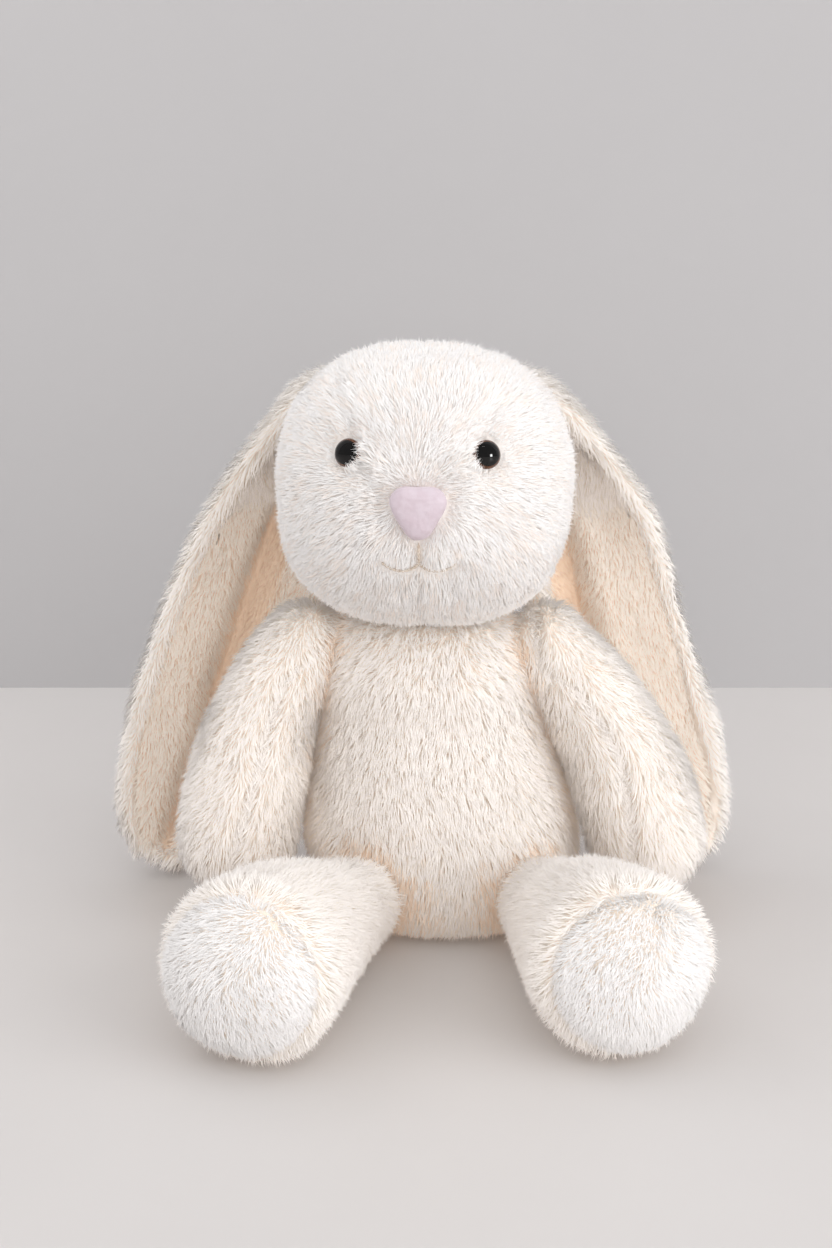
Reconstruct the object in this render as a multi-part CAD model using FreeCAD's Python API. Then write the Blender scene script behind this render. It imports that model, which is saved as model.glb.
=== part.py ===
import FreeCAD, Part
import math
import os

# Seated plush rabbit: sewn pile-fabric panels over fibre filling, with long lop ears.
# Millimetres. +Z is up, the rabbit faces -Y, and its own left side is +X. The origin is on
# the resting plane, under the middle of the seat.
# Head, arms, legs and ears are each sewn on at a small gathered seam and can turn about its
# centre: one side of the joint is a ball, the other a spherical recess, and a ring of
# thread runs between them.

V = FreeCAD.Vector
SIDES = (("left", 1), ("right", -1))    # name, sign of x
FAR = 200.0                             # reach of the cutting blocks, past every part

# ---------------------------------------------------------------- fabric and thread
FABRIC = 3.0            # backing plus the packed foot of the pile
FILL_GAP = 0.35         # filling stays this far inside the fabric
FILL_INSET = FABRIC + FILL_GAP
THREAD_R = 0.6

# ---------------------------------------------------------------- body dimensions
LEAN_LOW, LEAN_TOP = 5.0, -4.5          # x of the body's middle at the seat and at the neck
# horizontal sections: height, half width
BODY_SECTIONS = [
    (0.0, 35.0), (2.0, 40.0), (6.0, 44.5), (12.0, 48.5), (20.0, 51.5),
    (33.0, 53.0), (48.0, 51.5), (63.0, 48.8), (76.0, 45.8), (88.0, 42.4),
    (98.0, 39.0), (107.0, 34.8), (114.0, 29.0), (119.0, 23.5), (121.5, 18.5),
]
SECTION_MARGIN = 1.2    # sections nearer than this to an end are left out
BODY_DEPTH = 0.86       # depth over width
BODY_POWER = 2.15       # section roundness, 2 is an ellipse
SEAT_CUT = 4.0          # the seat panel reaches this high
SIDE_SEAM_Y = 6.0       # the side seams run just behind the middle

PELLET_CENTRE = (4.0, 4.0, 17.0)
PELLET_SIZE = (32.0, 26.0, 10.5)        # half axes of the seat's pellet bag
BAG_ROOM, BAG_CLOTH, PELLET_INSET = 0.4, 0.9, 1.2

STITCH_COUNT, STITCH_BOTTOM, STITCH_PITCH = 7, 58.0, 6.0
STITCH_HALF_W, STITCH_RISE, STITCH_R = 1.9, 1.8, 0.4
STITCH_LIFT = 0.75      # thread centre off the fabric

TAIL_CENTRE, TAIL_R = (2.5, 55.0, 31.0), 16.0
TAIL_FABRIC, TAIL_FILL_GAP = 2.4, 0.4
TAIL_OFF_BODY, TAIL_ROOM_OFF_BODY = 0.35, 2.6   # cover and its hollow, off the body

# ---------------------------------------------------------------- head dimensions
# Places on the head are in its own frame, about its centre.
HEAD_CENTRE = (LEAN_TOP, -4.0, 178.0)
HEAD_YAW = -4.0         # degrees, turned a little to its right
HEAD_RX, HEAD_RZ = 54.5, 51.5
HEAD_RY_FRONT, HEAD_RY_BACK = 50.0, 46.0
HEAD_POWER = 2.25
HEAD_LATITUDES = (-84, -77, -69, -60, -48, -34, -18, 0, 18, 34, 48, 60, 69, 77, 84)
HEAD_SEAM_Y = 8.0
# half of the forehead panel's outline, across and up: it passes inside the eye centres
# and ends behind the nose
GUSSET = [(31.0, 80.0), (30.0, 40.0), (20.5, 19.0), (13.0, 4.0), (10.5, -9.0)]

NECK = (LEAN_TOP, 0.0, 125.0)
NECK_R, NECK_SOCKET = 12.0, 14.6
NECK_RING_R = (NECK_R + NECK_SOCKET) / 2
NECK_RING_DROP = 2.2    # the ring lies this far below the neck's centre

EYE_X, EYE_Z = 24.6, 19.0
EYE_LIFT = 0.9          # back of the eye off the fabric
EYE_R, PUPIL_R = 5.3, 4.45
EYE_RIM, EYE_DOME = 0.7, 3.4            # height of the straight rim and of the dome on it
EYE_DOME_R = (EYE_R ** 2 + EYE_DOME ** 2) / (2 * EYE_DOME)
EYE_DOME_CENTRE = V(0, 0, EYE_DOME + EYE_RIM - EYE_DOME_R)
PUPIL_Z, PUPIL_PROUD, PUPIL_GAP = 1.9, 0.15, 0.02
SHANK_R, SHANK_LENGTH = 1.75, 11.0
WASHER_R, WASHER_T = 6.5, 1.3
WASHER_Z = -FABRIC - EYE_LIFT - 1.0 - WASHER_T
WASHER_GAP, HOLE_GAP, POCKET_GAP = 0.02, 0.15, 0.4

NOSE_W, NOSE_H, NOSE_T = 20.0, 19.0, 4.6
NOSE_BACK = -(HEAD_RY_FRONT + 0.25)     # y of the nose's flat back
# nose rings: share of the thickness towards the tip, share of the full outline
NOSE_RINGS = ((0.0, 0.93), (0.18, 1.0), (0.42, 0.985), (0.68, 0.87), (0.88, 0.62), (0.97, 0.34))

MOUTH_R, MOUTH_LIFT = 0.55, 1.0
# thread lines, across and up; the lip is the left half
MOUTH_MIDDLE = ((0, -11.5), (0, -15.5), (0, -19.2))
MOUTH_LIP = ((1.3, -20.9), (4.0, -22.2), (7.5, -22.6), (10.8, -21.6), (13.6, -19.6))

# ---------------------------------------------------------------- limb dimensions
# centre lines from joint to paw or foot: x, y, z, radius
SHOULDER_R, HIP_R = 13.0, 16.5
ARMS = {
    "left": [
        (43.0, -3.0, 115.0, SHOULDER_R), (55.5, -7.0, 98.0, 16.2), (69.5, -12.0, 77.0, 19.2),
        (80.0, -17.0, 56.0, 21.3), (84.5, -21.0, 40.0, 21.0),
    ],
    "right": [
        (-50.0, -3.0, 115.0, SHOULDER_R), (-60.5, -7.0, 98.0, 16.2), (-70.5, -12.0, 77.0, 19.2),
        (-77.5, -17.0, 56.0, 21.3), (-80.5, -21.0, 39.5, 21.2),
    ],
}
LEGS = {
    "left": [
        (41.0, -43.0, 21.0, HIP_R), (46.5, -65.0, 24.0, 19.8),
        (54.5, -91.0, 29.8, 26.2), (62.5, -123.0, 33.4, 31.6),
    ],
    "right": [
        (-31.5, -43.0, 21.0, HIP_R), (-40.5, -66.0, 24.0, 19.8),
        (-52.5, -94.0, 29.8, 26.2), (-64.0, -127.0, 33.4, 31.6),
    ],
}
SHOULDER_GAP, HIP_GAP = 2.6, 2.6        # recess round the joint ball
LEG_CHANNEL_GAPS = (1.2, 1.5, 1.5)      # room in the body round the leg's first three points
SHOULDER_KNOT, HIP_KNOT, KNOT_GAP = 6.0, 8.0, 0.5
SHOULDER_RING_ANGLE, HIP_RING_ANGLE = 35, 42    # half angle of the thread ring at the joint
ARM_SEAM_IN = 3.5       # the arm seams lie this far towards the body from the centre line
FOOT_FLAT = 0.8         # height over radius of the foot's dome
SOLE_AT = 11.0          # the sole panel starts this far past the foot's centre
POUCH_R, POUCH_DROP, POUCH_GAP = 15.0, 4.0, 0.4

# ---------------------------------------------------------------- ear dimensions
# right ear from root to tip: x, y, z, half width, turn of the width round the head, half
# angle of the rolled section, and how far inwards the left ear hangs by comparison
EAR_STATIONS = [
    (-34.5, 15.0, 43.0, 7.5, 60.0, 80.0, 0.0),
    (-51.0, 24.0, 33.0, 17.0, 50.0, 62.0, 0.0),
    (-65.5, 33.5, 2.0, 25.0, 42.0, 52.0, 0.0),
    (-77.0, 38.5, -33.0, 28.5, 36.0, 50.0, 2.0),
    (-89.0, 39.5, -73.0, 30.0, 30.0, 48.0, 7.0),
    (-99.5, 39.0, -113.0, 29.0, 25.0, 46.0, 8.5),
    (-107.5, 37.5, -145.0, 22.5, 21.0, 44.0, 6.0),
    (-111.5, 36.0, -160.0, 16.0, 18.0, 40.0, 4.0),
    (-114.5, 35.0, -170.0, 8.5, 16.0, 34.0, 3.0),
]
EAR_ROWS, EAR_COLUMNS = 25, 13          # points along and across each ear surface
EAR_OUTER_T, EAR_LINING_T, EAR_LAYER_GAP = 3.2, 2.6, 0.3
EAR_TRAIL = 0.075       # slope in y over x that undoes most of the head's turn
EAR_TRAIL_TOP, EAR_TRAIL_FADE = 40.0, 60.0      # it grows from this height over this drop
EAR_CLEAR = 1.9         # the ear stays this far off the head
EAR_JOINT = (28.0, 12.0, 43.5)          # left ear; the right one mirrors x
EAR_ROOT_R, EAR_ROOT_GAP, EAR_SOCKET_R = 4.6, 0.6, 7.2
EAR_THREAD_R, EAR_RING_ANGLE = 0.45, 48


# ---------------------------------------------------------------- curves and tables
def superellipse(angle, power):
    """Point (x, y) where |x|^power + |y|^power = 1."""
    c, s = math.cos(angle), math.sin(angle)
    return (math.copysign(abs(c) ** (2.0 / power), c),
            math.copysign(abs(s) ** (2.0 / power), s))


def ring_angles(count):
    return [2 * math.pi * k / count for k in range(count)]


def closed_wire(points):
    curve = Part.BSplineCurve()
    curve.interpolate(points, True)
    return Part.Wire([curve.toShape()])


def blend(table, x):
    """Smooth interpolation (Catmull-Rom) of (x, value) rows, held level past the ends."""
    xs = [row[0] for row in table]
    if x <= xs[0]:
        return table[0][1]
    if x >= xs[-1]:
        return table[-1][1]
    i = max(k for k in range(len(xs) - 1) if xs[k] <= x)
    x0, x1 = xs[i], xs[i + 1]
    y0, y1 = table[i][1], table[i + 1][1]
    step = x1 - x0
    slope0 = slope1 = (y1 - y0) / step
    if i > 0:
        slope0 = (y1 - table[i - 1][1]) / (x1 - xs[i - 1])
    if i + 2 < len(xs):
        slope1 = (table[i + 2][1] - y0) / (xs[i + 2] - x0)
    t = (x - x0) / step
    return ((2 * t ** 3 - 3 * t ** 2 + 1) * y0 + (t ** 3 - 2 * t ** 2 + t) * step * slope0
            + (-2 * t ** 3 + 3 * t ** 2) * y1 + (t ** 3 - t ** 2) * step * slope1)


def columns_of(rows, keys):
    """One (key, value) table for each column of the rows."""
    return [list(zip(keys, values)) for values in zip(*rows)]


def point_at(path, key):
    return V(*[blend(column, key) for column in path])


def heading(path, key, end, reach):
    """Unit direction of the path, from points up to reach before and after the key."""
    after, before = point_at(path, min(end, key + reach)), point_at(path, max(0.0, key - reach))
    return (after - before).normalize()


# ---------------------------------------------------------------- solids
def loft(sections):
    solid = Part.makeLoft(sections, True, False)
    solid = solid.Solids[0] if solid.ShapeType != "Solid" else solid
    if solid.Volume < 0:
        solid.reverse()
    return solid


def box(x0, y0, z0, x1, y1, z1):
    return Part.makeBox(x1 - x0, y1 - y0, z1 - z0, V(x0, y0, z0))


def ball(centre, radius):
    return Part.makeSphere(radius, V(*centre))


def cylinder(radius, height, z=0.0):
    return Part.makeCylinder(radius, height, V(0, 0, z))


def ellipsoid(centre, size, shrink):
    solid = Part.makeSphere(1.0)
    matrix = FreeCAD.Matrix()
    matrix.scale(V(*[half - shrink for half in size]))
    solid = solid.transformGeometry(matrix)
    solid.translate(V(*centre))
    return solid.Solids[0] if solid.ShapeType != "Solid" else solid


def half_space(point, normal):
    """A large block on the side of the plane that the unit normal points to."""
    face = Part.makePlane(2 * FAR, 2 * FAR, V(0, 0, 0), V(0, 0, 1))
    face.translate(V(-FAR, -FAR, 0))
    block = face.extrude(V(0, 0, 2 * FAR))
    block.Placement = FreeCAD.Placement(point, FreeCAD.Rotation(V(0, 0, 1), normal))
    return block


def thread_along(points, radius):
    curve = Part.BSplineCurve()
    curve.interpolate(points)
    path = Part.Wire([curve.toShape()])
    start = curve.tangent(curve.FirstParameter)[0]
    profile = Part.Wire([Part.makeCircle(radius, points[0], start)])
    pipe = path.makePipeShell([profile], True, False)
    return pipe.Solids[0] if pipe.ShapeType != "Solid" else pipe


def thread_ring(joint, axis, ball_r, half_angle, thread_r=THREAD_R):
    """A ring of thread on a ball round the joint, half_angle degrees off the unit axis."""
    angle = math.radians(half_angle)
    centre = V(*joint) + axis * (ball_r * math.cos(angle))
    return Part.makeTorus(ball_r * math.sin(angle), thread_r, centre, axis)


def cut_all(shape, tools):
    for tool in tools:
        shape = shape.cut(tool)
    return shape


def one(shape):
    """The solids of a boolean result, without slivers, as one shape."""
    solids = [s for s in shape.Solids if s.Volume > 1.0]
    return solids[0] if len(solids) == 1 else Part.makeCompound(solids)


def limb(line, inset, flat=1.0):
    """A tube of round sections along a smooth line, with domed ends.

    flat shortens the far dome. The domes close with small flats, not points.
    """
    centres = [V(*row[:3]) for row in line]
    distances = [0.0]
    for a, b in zip(centres, centres[1:]):
        distances.append(distances[-1] + (b - a).Length)
    *path, radii = columns_of(line, distances)
    total = distances[-1]

    def section(centre, along, radius):
        u = along.cross(V(0, 1, 0.35)).normalize()
        w = along.cross(u).normalize()
        return closed_wire([centre + u * (radius * math.cos(a)) + w * (radius * math.sin(a))
                            for a in ring_angles(16)])

    near_r, far_r = line[0][3] - inset, line[-1][3] - inset
    near, far = point_at(path, 0.0), point_at(path, total)
    near_dir, far_dir = [heading(path, d, total, 0.5) for d in (0.0, total)]
    sections = []
    for angle in map(math.radians, (3, 12, 26, 42, 60, 78)):
        centre = near - near_dir * (near_r * math.cos(angle))
        sections.append(section(centre, near_dir, near_r * math.sin(angle)))
    steps = 7
    for k in range(steps + 1):
        d = total * k / steps
        radius = blend(radii, d) - inset
        sections.append(section(point_at(path, d), heading(path, d, total, 0.5), radius))
    for angle in map(math.radians, (76, 60, 44, 28, 13, 3)):
        centre = far + far_dir * (far_r * flat * math.cos(angle))
        sections.append(section(centre, far_dir, far_r * math.sin(angle)))
    return loft(sections)


def seam_normal(line, across, sign):
    """Unit normal, pointing outwards, of the plane that parts a limb into two panels."""
    axis = (V(*line[-1][:3]) - V(*line[0][:3])).normalize()
    normal = axis.cross(across).normalize()
    return normal * -1 if normal.x * sign < 0 else normal


# ---------------------------------------------------------------- body
def body_centre(z):
    t = max(0.0, min(1.0, z / NECK[2]))
    return LEAN_LOW + (LEAN_TOP - LEAN_LOW) * t


def body_solid(inset):
    low, high = BODY_SECTIONS[0][0] + inset, BODY_SECTIONS[-1][0] - inset
    between = [z for z, _ in BODY_SECTIONS if low + SECTION_MARGIN < z < high - SECTION_MARGIN]
    sections = []
    for z in [low] + between + [high]:
        radius = blend(BODY_SECTIONS, z) - inset
        points = []
        for angle in ring_angles(24):
            a, b = superellipse(angle, BODY_POWER)
            points.append(V(body_centre(z) + a * radius, b * radius * BODY_DEPTH, z))
        sections.append(closed_wire(points))
    return loft(sections)


def body_hollows():
    """Recesses for the neck, shoulders and hips, and channels for the legs."""
    hollows = [ball(NECK, NECK_SOCKET)]
    for side, _ in SIDES:
        leg = LEGS[side]
        hollows.append(ball(ARMS[side][0][:3], SHOULDER_R + SHOULDER_GAP))
        hollows.append(ball(leg[0][:3], HIP_R + HIP_GAP))
        channel = [row[:3] + (row[3] + gap,) for row, gap in zip(leg, LEG_CHANNEL_GAPS)]
        hollows.append(limb(channel, 0.0))
    return hollows


def body():
    hollows = body_hollows()
    shell = cut_all(body_solid(0.0).cut(body_solid(FABRIC)), hollows)
    stuffing = cut_all(body_solid(FILL_INSET), hollows)
    upper = shell.common(box(-FAR, -FAR, SEAT_CUT, FAR, FAR, FAR))
    back = upper.common(box(-FAR, SIDE_SEAM_Y, -1, FAR, FAR, FAR))
    room = ellipsoid(PELLET_CENTRE, PELLET_SIZE, -BAG_ROOM)
    return {
        "seat_panel": one(shell.common(box(-FAR, -FAR, -1, FAR, FAR, SEAT_CUT))),
        "body_front_panel": one(upper.common(box(-FAR, -FAR, -1, FAR, SIDE_SEAM_Y, FAR))),
        "body_back_left_panel": one(back.common(box(0, -FAR, -1, FAR, FAR, FAR))),
        "body_back_right_panel": one(back.common(box(-FAR, -FAR, -1, 0, FAR, FAR))),
        "body_stuffing": one(stuffing.cut(room)),
    }


def seat_pellets():
    bag = ellipsoid(PELLET_CENTRE, PELLET_SIZE, 0.0)
    return {
        "seat_pellet_bag": one(bag.cut(ellipsoid(PELLET_CENTRE, PELLET_SIZE, BAG_CLOTH))),
        "seat_pellets": ellipsoid(PELLET_CENTRE, PELLET_SIZE, PELLET_INSET),
    }


def back_stitches():
    """Slanting stitches up the middle of the back, above the tail."""
    stitches = []
    for k in range(STITCH_COUNT):
        z = STITCH_BOTTOM + STITCH_PITCH * k
        y = blend(BODY_SECTIONS, z) * BODY_DEPTH + STITCH_LIFT
        x = body_centre(z)
        points = [V(x - STITCH_HALF_W, y - 0.02, z),
                  V(x, y + 0.12, z + STITCH_RISE / 2),
                  V(x + STITCH_HALF_W, y - 0.02, z + STITCH_RISE)]
        stitches.append(thread_along(points, STITCH_R))
    return {"back_closing_stitches": Part.makeCompound(stitches)}


def tail():
    """A ball pressed flat where it is sewn to the back."""
    def pressed(inset, off_body):
        return ball(TAIL_CENTRE, TAIL_R - inset).cut(body_solid(-off_body))

    cover = pressed(0.0, TAIL_OFF_BODY).cut(pressed(TAIL_FABRIC, TAIL_ROOM_OFF_BODY))
    filling = pressed(TAIL_FABRIC + TAIL_FILL_GAP, TAIL_ROOM_OFF_BODY + TAIL_FILL_GAP)
    return {"tail_cover": one(cover), "tail_stuffing": one(filling)}


def neck():
    """The plug of filling that the head rocks on, and its thread ring."""
    ring_centre = V(NECK[0], NECK[1], NECK[2] - NECK_RING_DROP)
    ring_r = math.sqrt(NECK_RING_R ** 2 - NECK_RING_DROP ** 2)
    return {
        "neck_stuffing": ball(NECK, NECK_R),
        "neck_seam_thread": Part.makeTorus(ring_r, THREAD_R, ring_centre, V(0, 0, 1)),
    }


# ---------------------------------------------------------------- head
def to_head(shape):
    """Moves a shape from the head's own frame to its place on the rabbit."""
    moved = shape.copy()
    moved.rotate(V(0, 0, 0), V(0, 0, 1), HEAD_YAW)
    moved.translate(V(*HEAD_CENTRE))
    return moved


def in_head(point):
    """A point of the rabbit's frame, in the head's own frame."""
    a = math.radians(-HEAD_YAW)
    x, y, z = [p - c for p, c in zip(point, HEAD_CENTRE)]
    return (x * math.cos(a) - y * math.sin(a), x * math.sin(a) + y * math.cos(a), z)


def face_frame(x, z):
    """Point on the front of the head, and the outward normal there."""
    n = HEAD_POWER
    left = 1 - (abs(x) / HEAD_RX) ** n - (abs(z) / HEAD_RZ) ** n
    y = -HEAD_RY_FRONT * max(0.0, left) ** (1 / n)
    slopes = [math.copysign((abs(p) / r) ** (n - 1) / r, p)
              for p, r in ((x, HEAD_RX), (y, HEAD_RY_FRONT), (z, HEAD_RZ))]
    return V(x, y, z), V(*slopes).normalize()


def head_solid(inset):
    rx, rz = HEAD_RX - inset, HEAD_RZ - inset
    sections = [Part.Vertex(V(0, 0, -rz))]
    for latitude in HEAD_LATITUDES:
        out, up = superellipse(math.radians(latitude), HEAD_POWER)
        points = []
        for angle in ring_angles(24):
            a, b = superellipse(angle, HEAD_POWER)
            ry = (HEAD_RY_FRONT if b < 0 else HEAD_RY_BACK) - inset
            points.append(V(a * rx * out, b * ry * out, up * rz))
        sections.append(closed_wire(points))
    sections.append(Part.Vertex(V(0, 0, rz)))
    return loft(sections)


def ear_joint(sign):
    return V(sign * EAR_JOINT[0], EAR_JOINT[1], EAR_JOINT[2])


def on_eye_axis(shape, sign):
    """Places a shape built along +Z, with the eye's back at z = 0, on the face."""
    point, normal = face_frame(sign * EYE_X, EYE_Z)
    place = FreeCAD.Placement(point + normal * EYE_LIFT,
                              FreeCAD.Rotation(V(0, 0, 1), normal))
    placed = shape.copy()
    placed.Placement = place.multiply(placed.Placement)
    return placed


def eyes():
    """Flat-backed domes with shanks, pupil caps let into their fronts, and back washers."""
    dome = Part.makeSphere(EYE_DOME_R, EYE_DOME_CENTRE).common(box(-9, -9, EYE_RIM, 9, 9, 9))
    dome = dome.fuse(cylinder(EYE_R, EYE_RIM)).removeSplitter()
    shank = cylinder(SHANK_R, SHANK_LENGTH, -SHANK_LENGTH)
    eye = dome.fuse(shank).removeSplitter()
    pupil = Part.makeSphere(EYE_DOME_R + PUPIL_PROUD, EYE_DOME_CENTRE)
    pupil = pupil.common(cylinder(PUPIL_R, 9, PUPIL_Z))
    washer = cylinder(WASHER_R, WASHER_T, WASHER_Z)
    pieces = {
        "eye_body": eye.cut(cylinder(PUPIL_R + PUPIL_GAP, 9, PUPIL_Z)),
        "eye_pupil": pupil.common(box(-9, -9, PUPIL_Z + PUPIL_GAP, 9, 9, 20)),
        "eye_washer": washer.cut(cylinder(SHANK_R + WASHER_GAP, 30, -20)),
    }
    return {f"{side}_{label}": to_head(on_eye_axis(one(piece), sign))
            for side, sign in SIDES for label, piece in pieces.items()}


def head():
    sockets = [ball(in_head(NECK), NECK_SOCKET)]
    sockets += [ball(ear_joint(sign), EAR_SOCKET_R) for sign in (-1, 1)]
    hole = cylinder(SHANK_R + HOLE_GAP, 40, -20)
    pocket = cylinder(WASHER_R + POCKET_GAP, 12.0, WASHER_Z - POCKET_GAP)
    pocket = pocket.fuse(cylinder(SHANK_R + POCKET_GAP, 30, -SHANK_LENGTH - 0.5))
    holes = [on_eye_axis(hole, sign) for _, sign in SIDES]
    pockets = [on_eye_axis(pocket, sign) for _, sign in SIDES]
    shell = cut_all(head_solid(0.0).cut(head_solid(FABRIC)), sockets + holes)
    filling = cut_all(head_solid(FILL_INSET), sockets + pockets)

    front = shell.common(box(-FAR, -FAR, -FAR, FAR, HEAD_SEAM_Y, FAR))
    rear = shell.common(box(-FAR, HEAD_SEAM_Y, -FAR, FAR, FAR, FAR))
    outline = [V(x, -FAR, z) for x, z in GUSSET] + [V(-x, -FAR, z) for x, z in reversed(GUSSET)]
    gusset_face = Part.Face(Part.makePolygon(outline + [outline[0]]))
    gusset_block = gusset_face.extrude(V(0, FAR + HEAD_SEAM_Y, 0))
    face = front.cut(gusset_block)
    left_half = box(0, -FAR, -FAR, FAR, FAR, FAR)
    right_half = box(-FAR, -FAR, -FAR, 0, FAR, FAR)
    pieces = {
        "forehead_gusset": front.common(gusset_block),
        "face_left_panel": face.common(left_half),
        "face_right_panel": face.common(right_half),
        "head_back_left_panel": rear.common(left_half),
        "head_back_right_panel": rear.common(right_half),
        "head_stuffing": filling,
    }
    return {name: to_head(one(piece)) for name, piece in pieces.items()}


def nose_ring(scale, y):
    """A rounded triangle with three soft corners, one down."""
    points = []
    for a in ring_angles(24):
        r = 1.0 + 0.13 * math.cos(3 * (a + math.pi / 2))
        widen = 0.98 + 0.10 * math.sin(a)       # a little wider at the top
        points.append(V(r * math.cos(a) * NOSE_W / 2 * scale * widen, y,
                        r * math.sin(a) * NOSE_H / 2 * scale))
    return closed_wire(points)


def nose_solid(inset, back_inset):
    back, thickness = NOSE_BACK - back_inset, NOSE_T - inset
    sections = [nose_ring(scale * (1 - inset / (NOSE_H / 2)), back - thickness * share)
                for share, scale in NOSE_RINGS]
    sections.append(Part.Vertex(V(0, back - thickness, 0)))
    return loft(sections)


def nose():
    """A smooth cloth cover over a small pad."""
    cover = nose_solid(0.0, 0.0).cut(nose_solid(1.0, 0.6))
    return {"nose_cover": to_head(one(cover)), "nose_padding": to_head(nose_solid(1.25, 0.8))}


def mouth():
    """Three embroidered lines."""
    lines = [MOUTH_MIDDLE] + [[(sign * x, z) for x, z in MOUTH_LIP] for _, sign in SIDES]
    threads = []
    for line in lines:
        frames = [face_frame(x, z) for x, z in line]
        points = [point + normal * MOUTH_LIFT for point, normal in frames]
        threads.append(thread_along(points, MOUTH_R))
    return {"mouth_embroidery": to_head(Part.makeCompound(threads))}


# ---------------------------------------------------------------- limbs
def arm(side, sign):
    """Two panels with seams down the front and back, filling, and the shoulder joint."""
    line = ARMS[side]
    shoulder = line[0][:3]
    outer, inner = limb(line, 0.0), limb(line, FABRIC)
    normal = seam_normal(line, V(0, 1, 0), sign)
    middle = V(*line[2][:3]) - normal * ARM_SEAM_IN
    filling = limb(line, FILL_INSET).cut(ball(shoulder, SHOULDER_KNOT + KNOT_GAP))
    ring_axis = V(-sign * 0.8, 0, 0.6)          # towards the body and up
    return {
        f"{side}_arm_outer_panel": one(outer.common(half_space(middle, normal)).cut(inner)),
        f"{side}_arm_inner_panel": one(outer.common(half_space(middle, normal * -1)).cut(inner)),
        f"{side}_shoulder_bundle": ball(shoulder, SHOULDER_KNOT),
        f"{side}_arm_stuffing": one(filling),
        f"{side}_shoulder_seam_thread": thread_ring(
            shoulder, ring_axis, SHOULDER_R + SHOULDER_GAP / 2, SHOULDER_RING_ANGLE),
    }


def leg(side, sign):
    """Two panels with seams along the top and underside, a sole, filling and hip joint."""
    line = LEGS[side]
    hip, foot = line[0][:3], V(*line[-1][:3])
    shell = limb(line, 0.0, FOOT_FLAT).cut(limb(line, FABRIC, FOOT_FLAT))
    foot_dir = (foot - V(*line[-2][:3])).normalize()
    sole_at = foot + foot_dir * SOLE_AT
    tube = shell.common(half_space(sole_at, foot_dir * -1))
    normal = seam_normal(line, V(0, 0, 1), sign)
    middle = V(*line[1][:3])
    filling = limb(line, FILL_INSET, FOOT_FLAT).cut(ball(hip, HIP_KNOT + KNOT_GAP))
    pouch_at = foot + V(0, 0, -POUCH_DROP)
    ring_axis = V(-sign * 0.35, 0.92, 0.18).normalize()     # back towards the body
    return {
        f"{side}_foot_sole_panel": one(shell.common(half_space(sole_at, foot_dir))),
        f"{side}_leg_outer_panel": one(tube.common(half_space(middle, normal))),
        f"{side}_leg_inner_panel": one(tube.common(half_space(middle, normal * -1))),
        f"{side}_hip_bundle": ball(hip, HIP_KNOT),
        f"{side}_leg_stuffing": one(filling.cut(ball(pouch_at, POUCH_R + POUCH_GAP))),
        f"{side}_foot_pellet_pouch": ball(pouch_at, POUCH_R),
        f"{side}_hip_seam_thread": thread_ring(
            hip, ring_axis, HIP_R + HIP_GAP / 2, HIP_RING_ANGLE),
    }


# ---------------------------------------------------------------- ears
def ear_grid(offset, sign):
    """Rows of points of one ear surface; offset is the distance towards the ear's back."""
    keys = [i / (len(EAR_STATIONS) - 1.0) for i in range(len(EAR_STATIONS))]
    stations = [(row[0] + (row[6] if sign > 0 else 0.0),) + row[1:6] for row in EAR_STATIONS]
    *path, half_widths, turns, curls = columns_of(stations, keys)
    rows = []
    for i in range(EAR_ROWS):
        s = i / (EAR_ROWS - 1.0)
        centre = point_at(path, s)
        along = heading(path, s, 1, 0.01)
        turn = math.radians(blend(turns, s))
        wide = V(-math.cos(turn), -math.sin(turn), 0)       # towards the outer edge
        wide = (wide - along * wide.dot(along)).normalize()
        back = wide.cross(along).normalize()
        if back.y < 0:
            back = back * -1
        curl = math.radians(blend(curls, s))
        radius = blend(half_widths, s) / math.sin(curl)
        row = []
        for j in range(EAR_COLUMNS):
            a = curl * (-1 + 2 * j / (EAR_COLUMNS - 1.0))
            depth = radius * (math.cos(a) - 1) + radius * (1 - math.cos(curl)) * 0.5
            point = centre + wide * (radius * math.sin(a)) + back * depth
            point = point + (wide * math.sin(a) + back * math.cos(a)) * offset
            # the head's turn carries the left ear forward and the right one back
            fade = min(1.0, max(0.0, (EAR_TRAIL_TOP - point.z) / EAR_TRAIL_FADE))
            y = point.y + sign * EAR_TRAIL * fade * abs(point.x)
            row.append(V(-point.x if sign > 0 else point.x, y, point.z))
        rows.append(row)
    return rows


def sheet_solid(rows_a, rows_b):
    """A solid between two surfaces given as rows of points."""
    def surface(rows):
        spline = Part.BSplineSurface()
        spline.interpolate(rows)
        return spline

    def edges(spline):
        u0, u1, v0, v1 = spline.bounds()
        curves = (spline.uIso(u0), spline.uIso(u1), spline.vIso(v0), spline.vIso(v1))
        return [curve.toShape() for curve in curves]

    a, b = surface(rows_a), surface(rows_b)
    sides = [Part.makeRuledSurface(p, q) for p, q in zip(edges(a), edges(b))]
    shell = Part.makeShell([a.toShape(), b.toShape()] + sides)
    shell.sewShape()
    shell = shell.Shells[0] if shell.ShapeType != "Shell" else shell
    solid = Part.makeSolid(shell)
    if solid.Volume < 0:
        solid.reverse()
    fixed = solid.copy()
    fixed.fix(0.001, 0.001, 0.01)
    return fixed.Solids[0] if fixed.isValid() and fixed.Solids else solid


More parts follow.
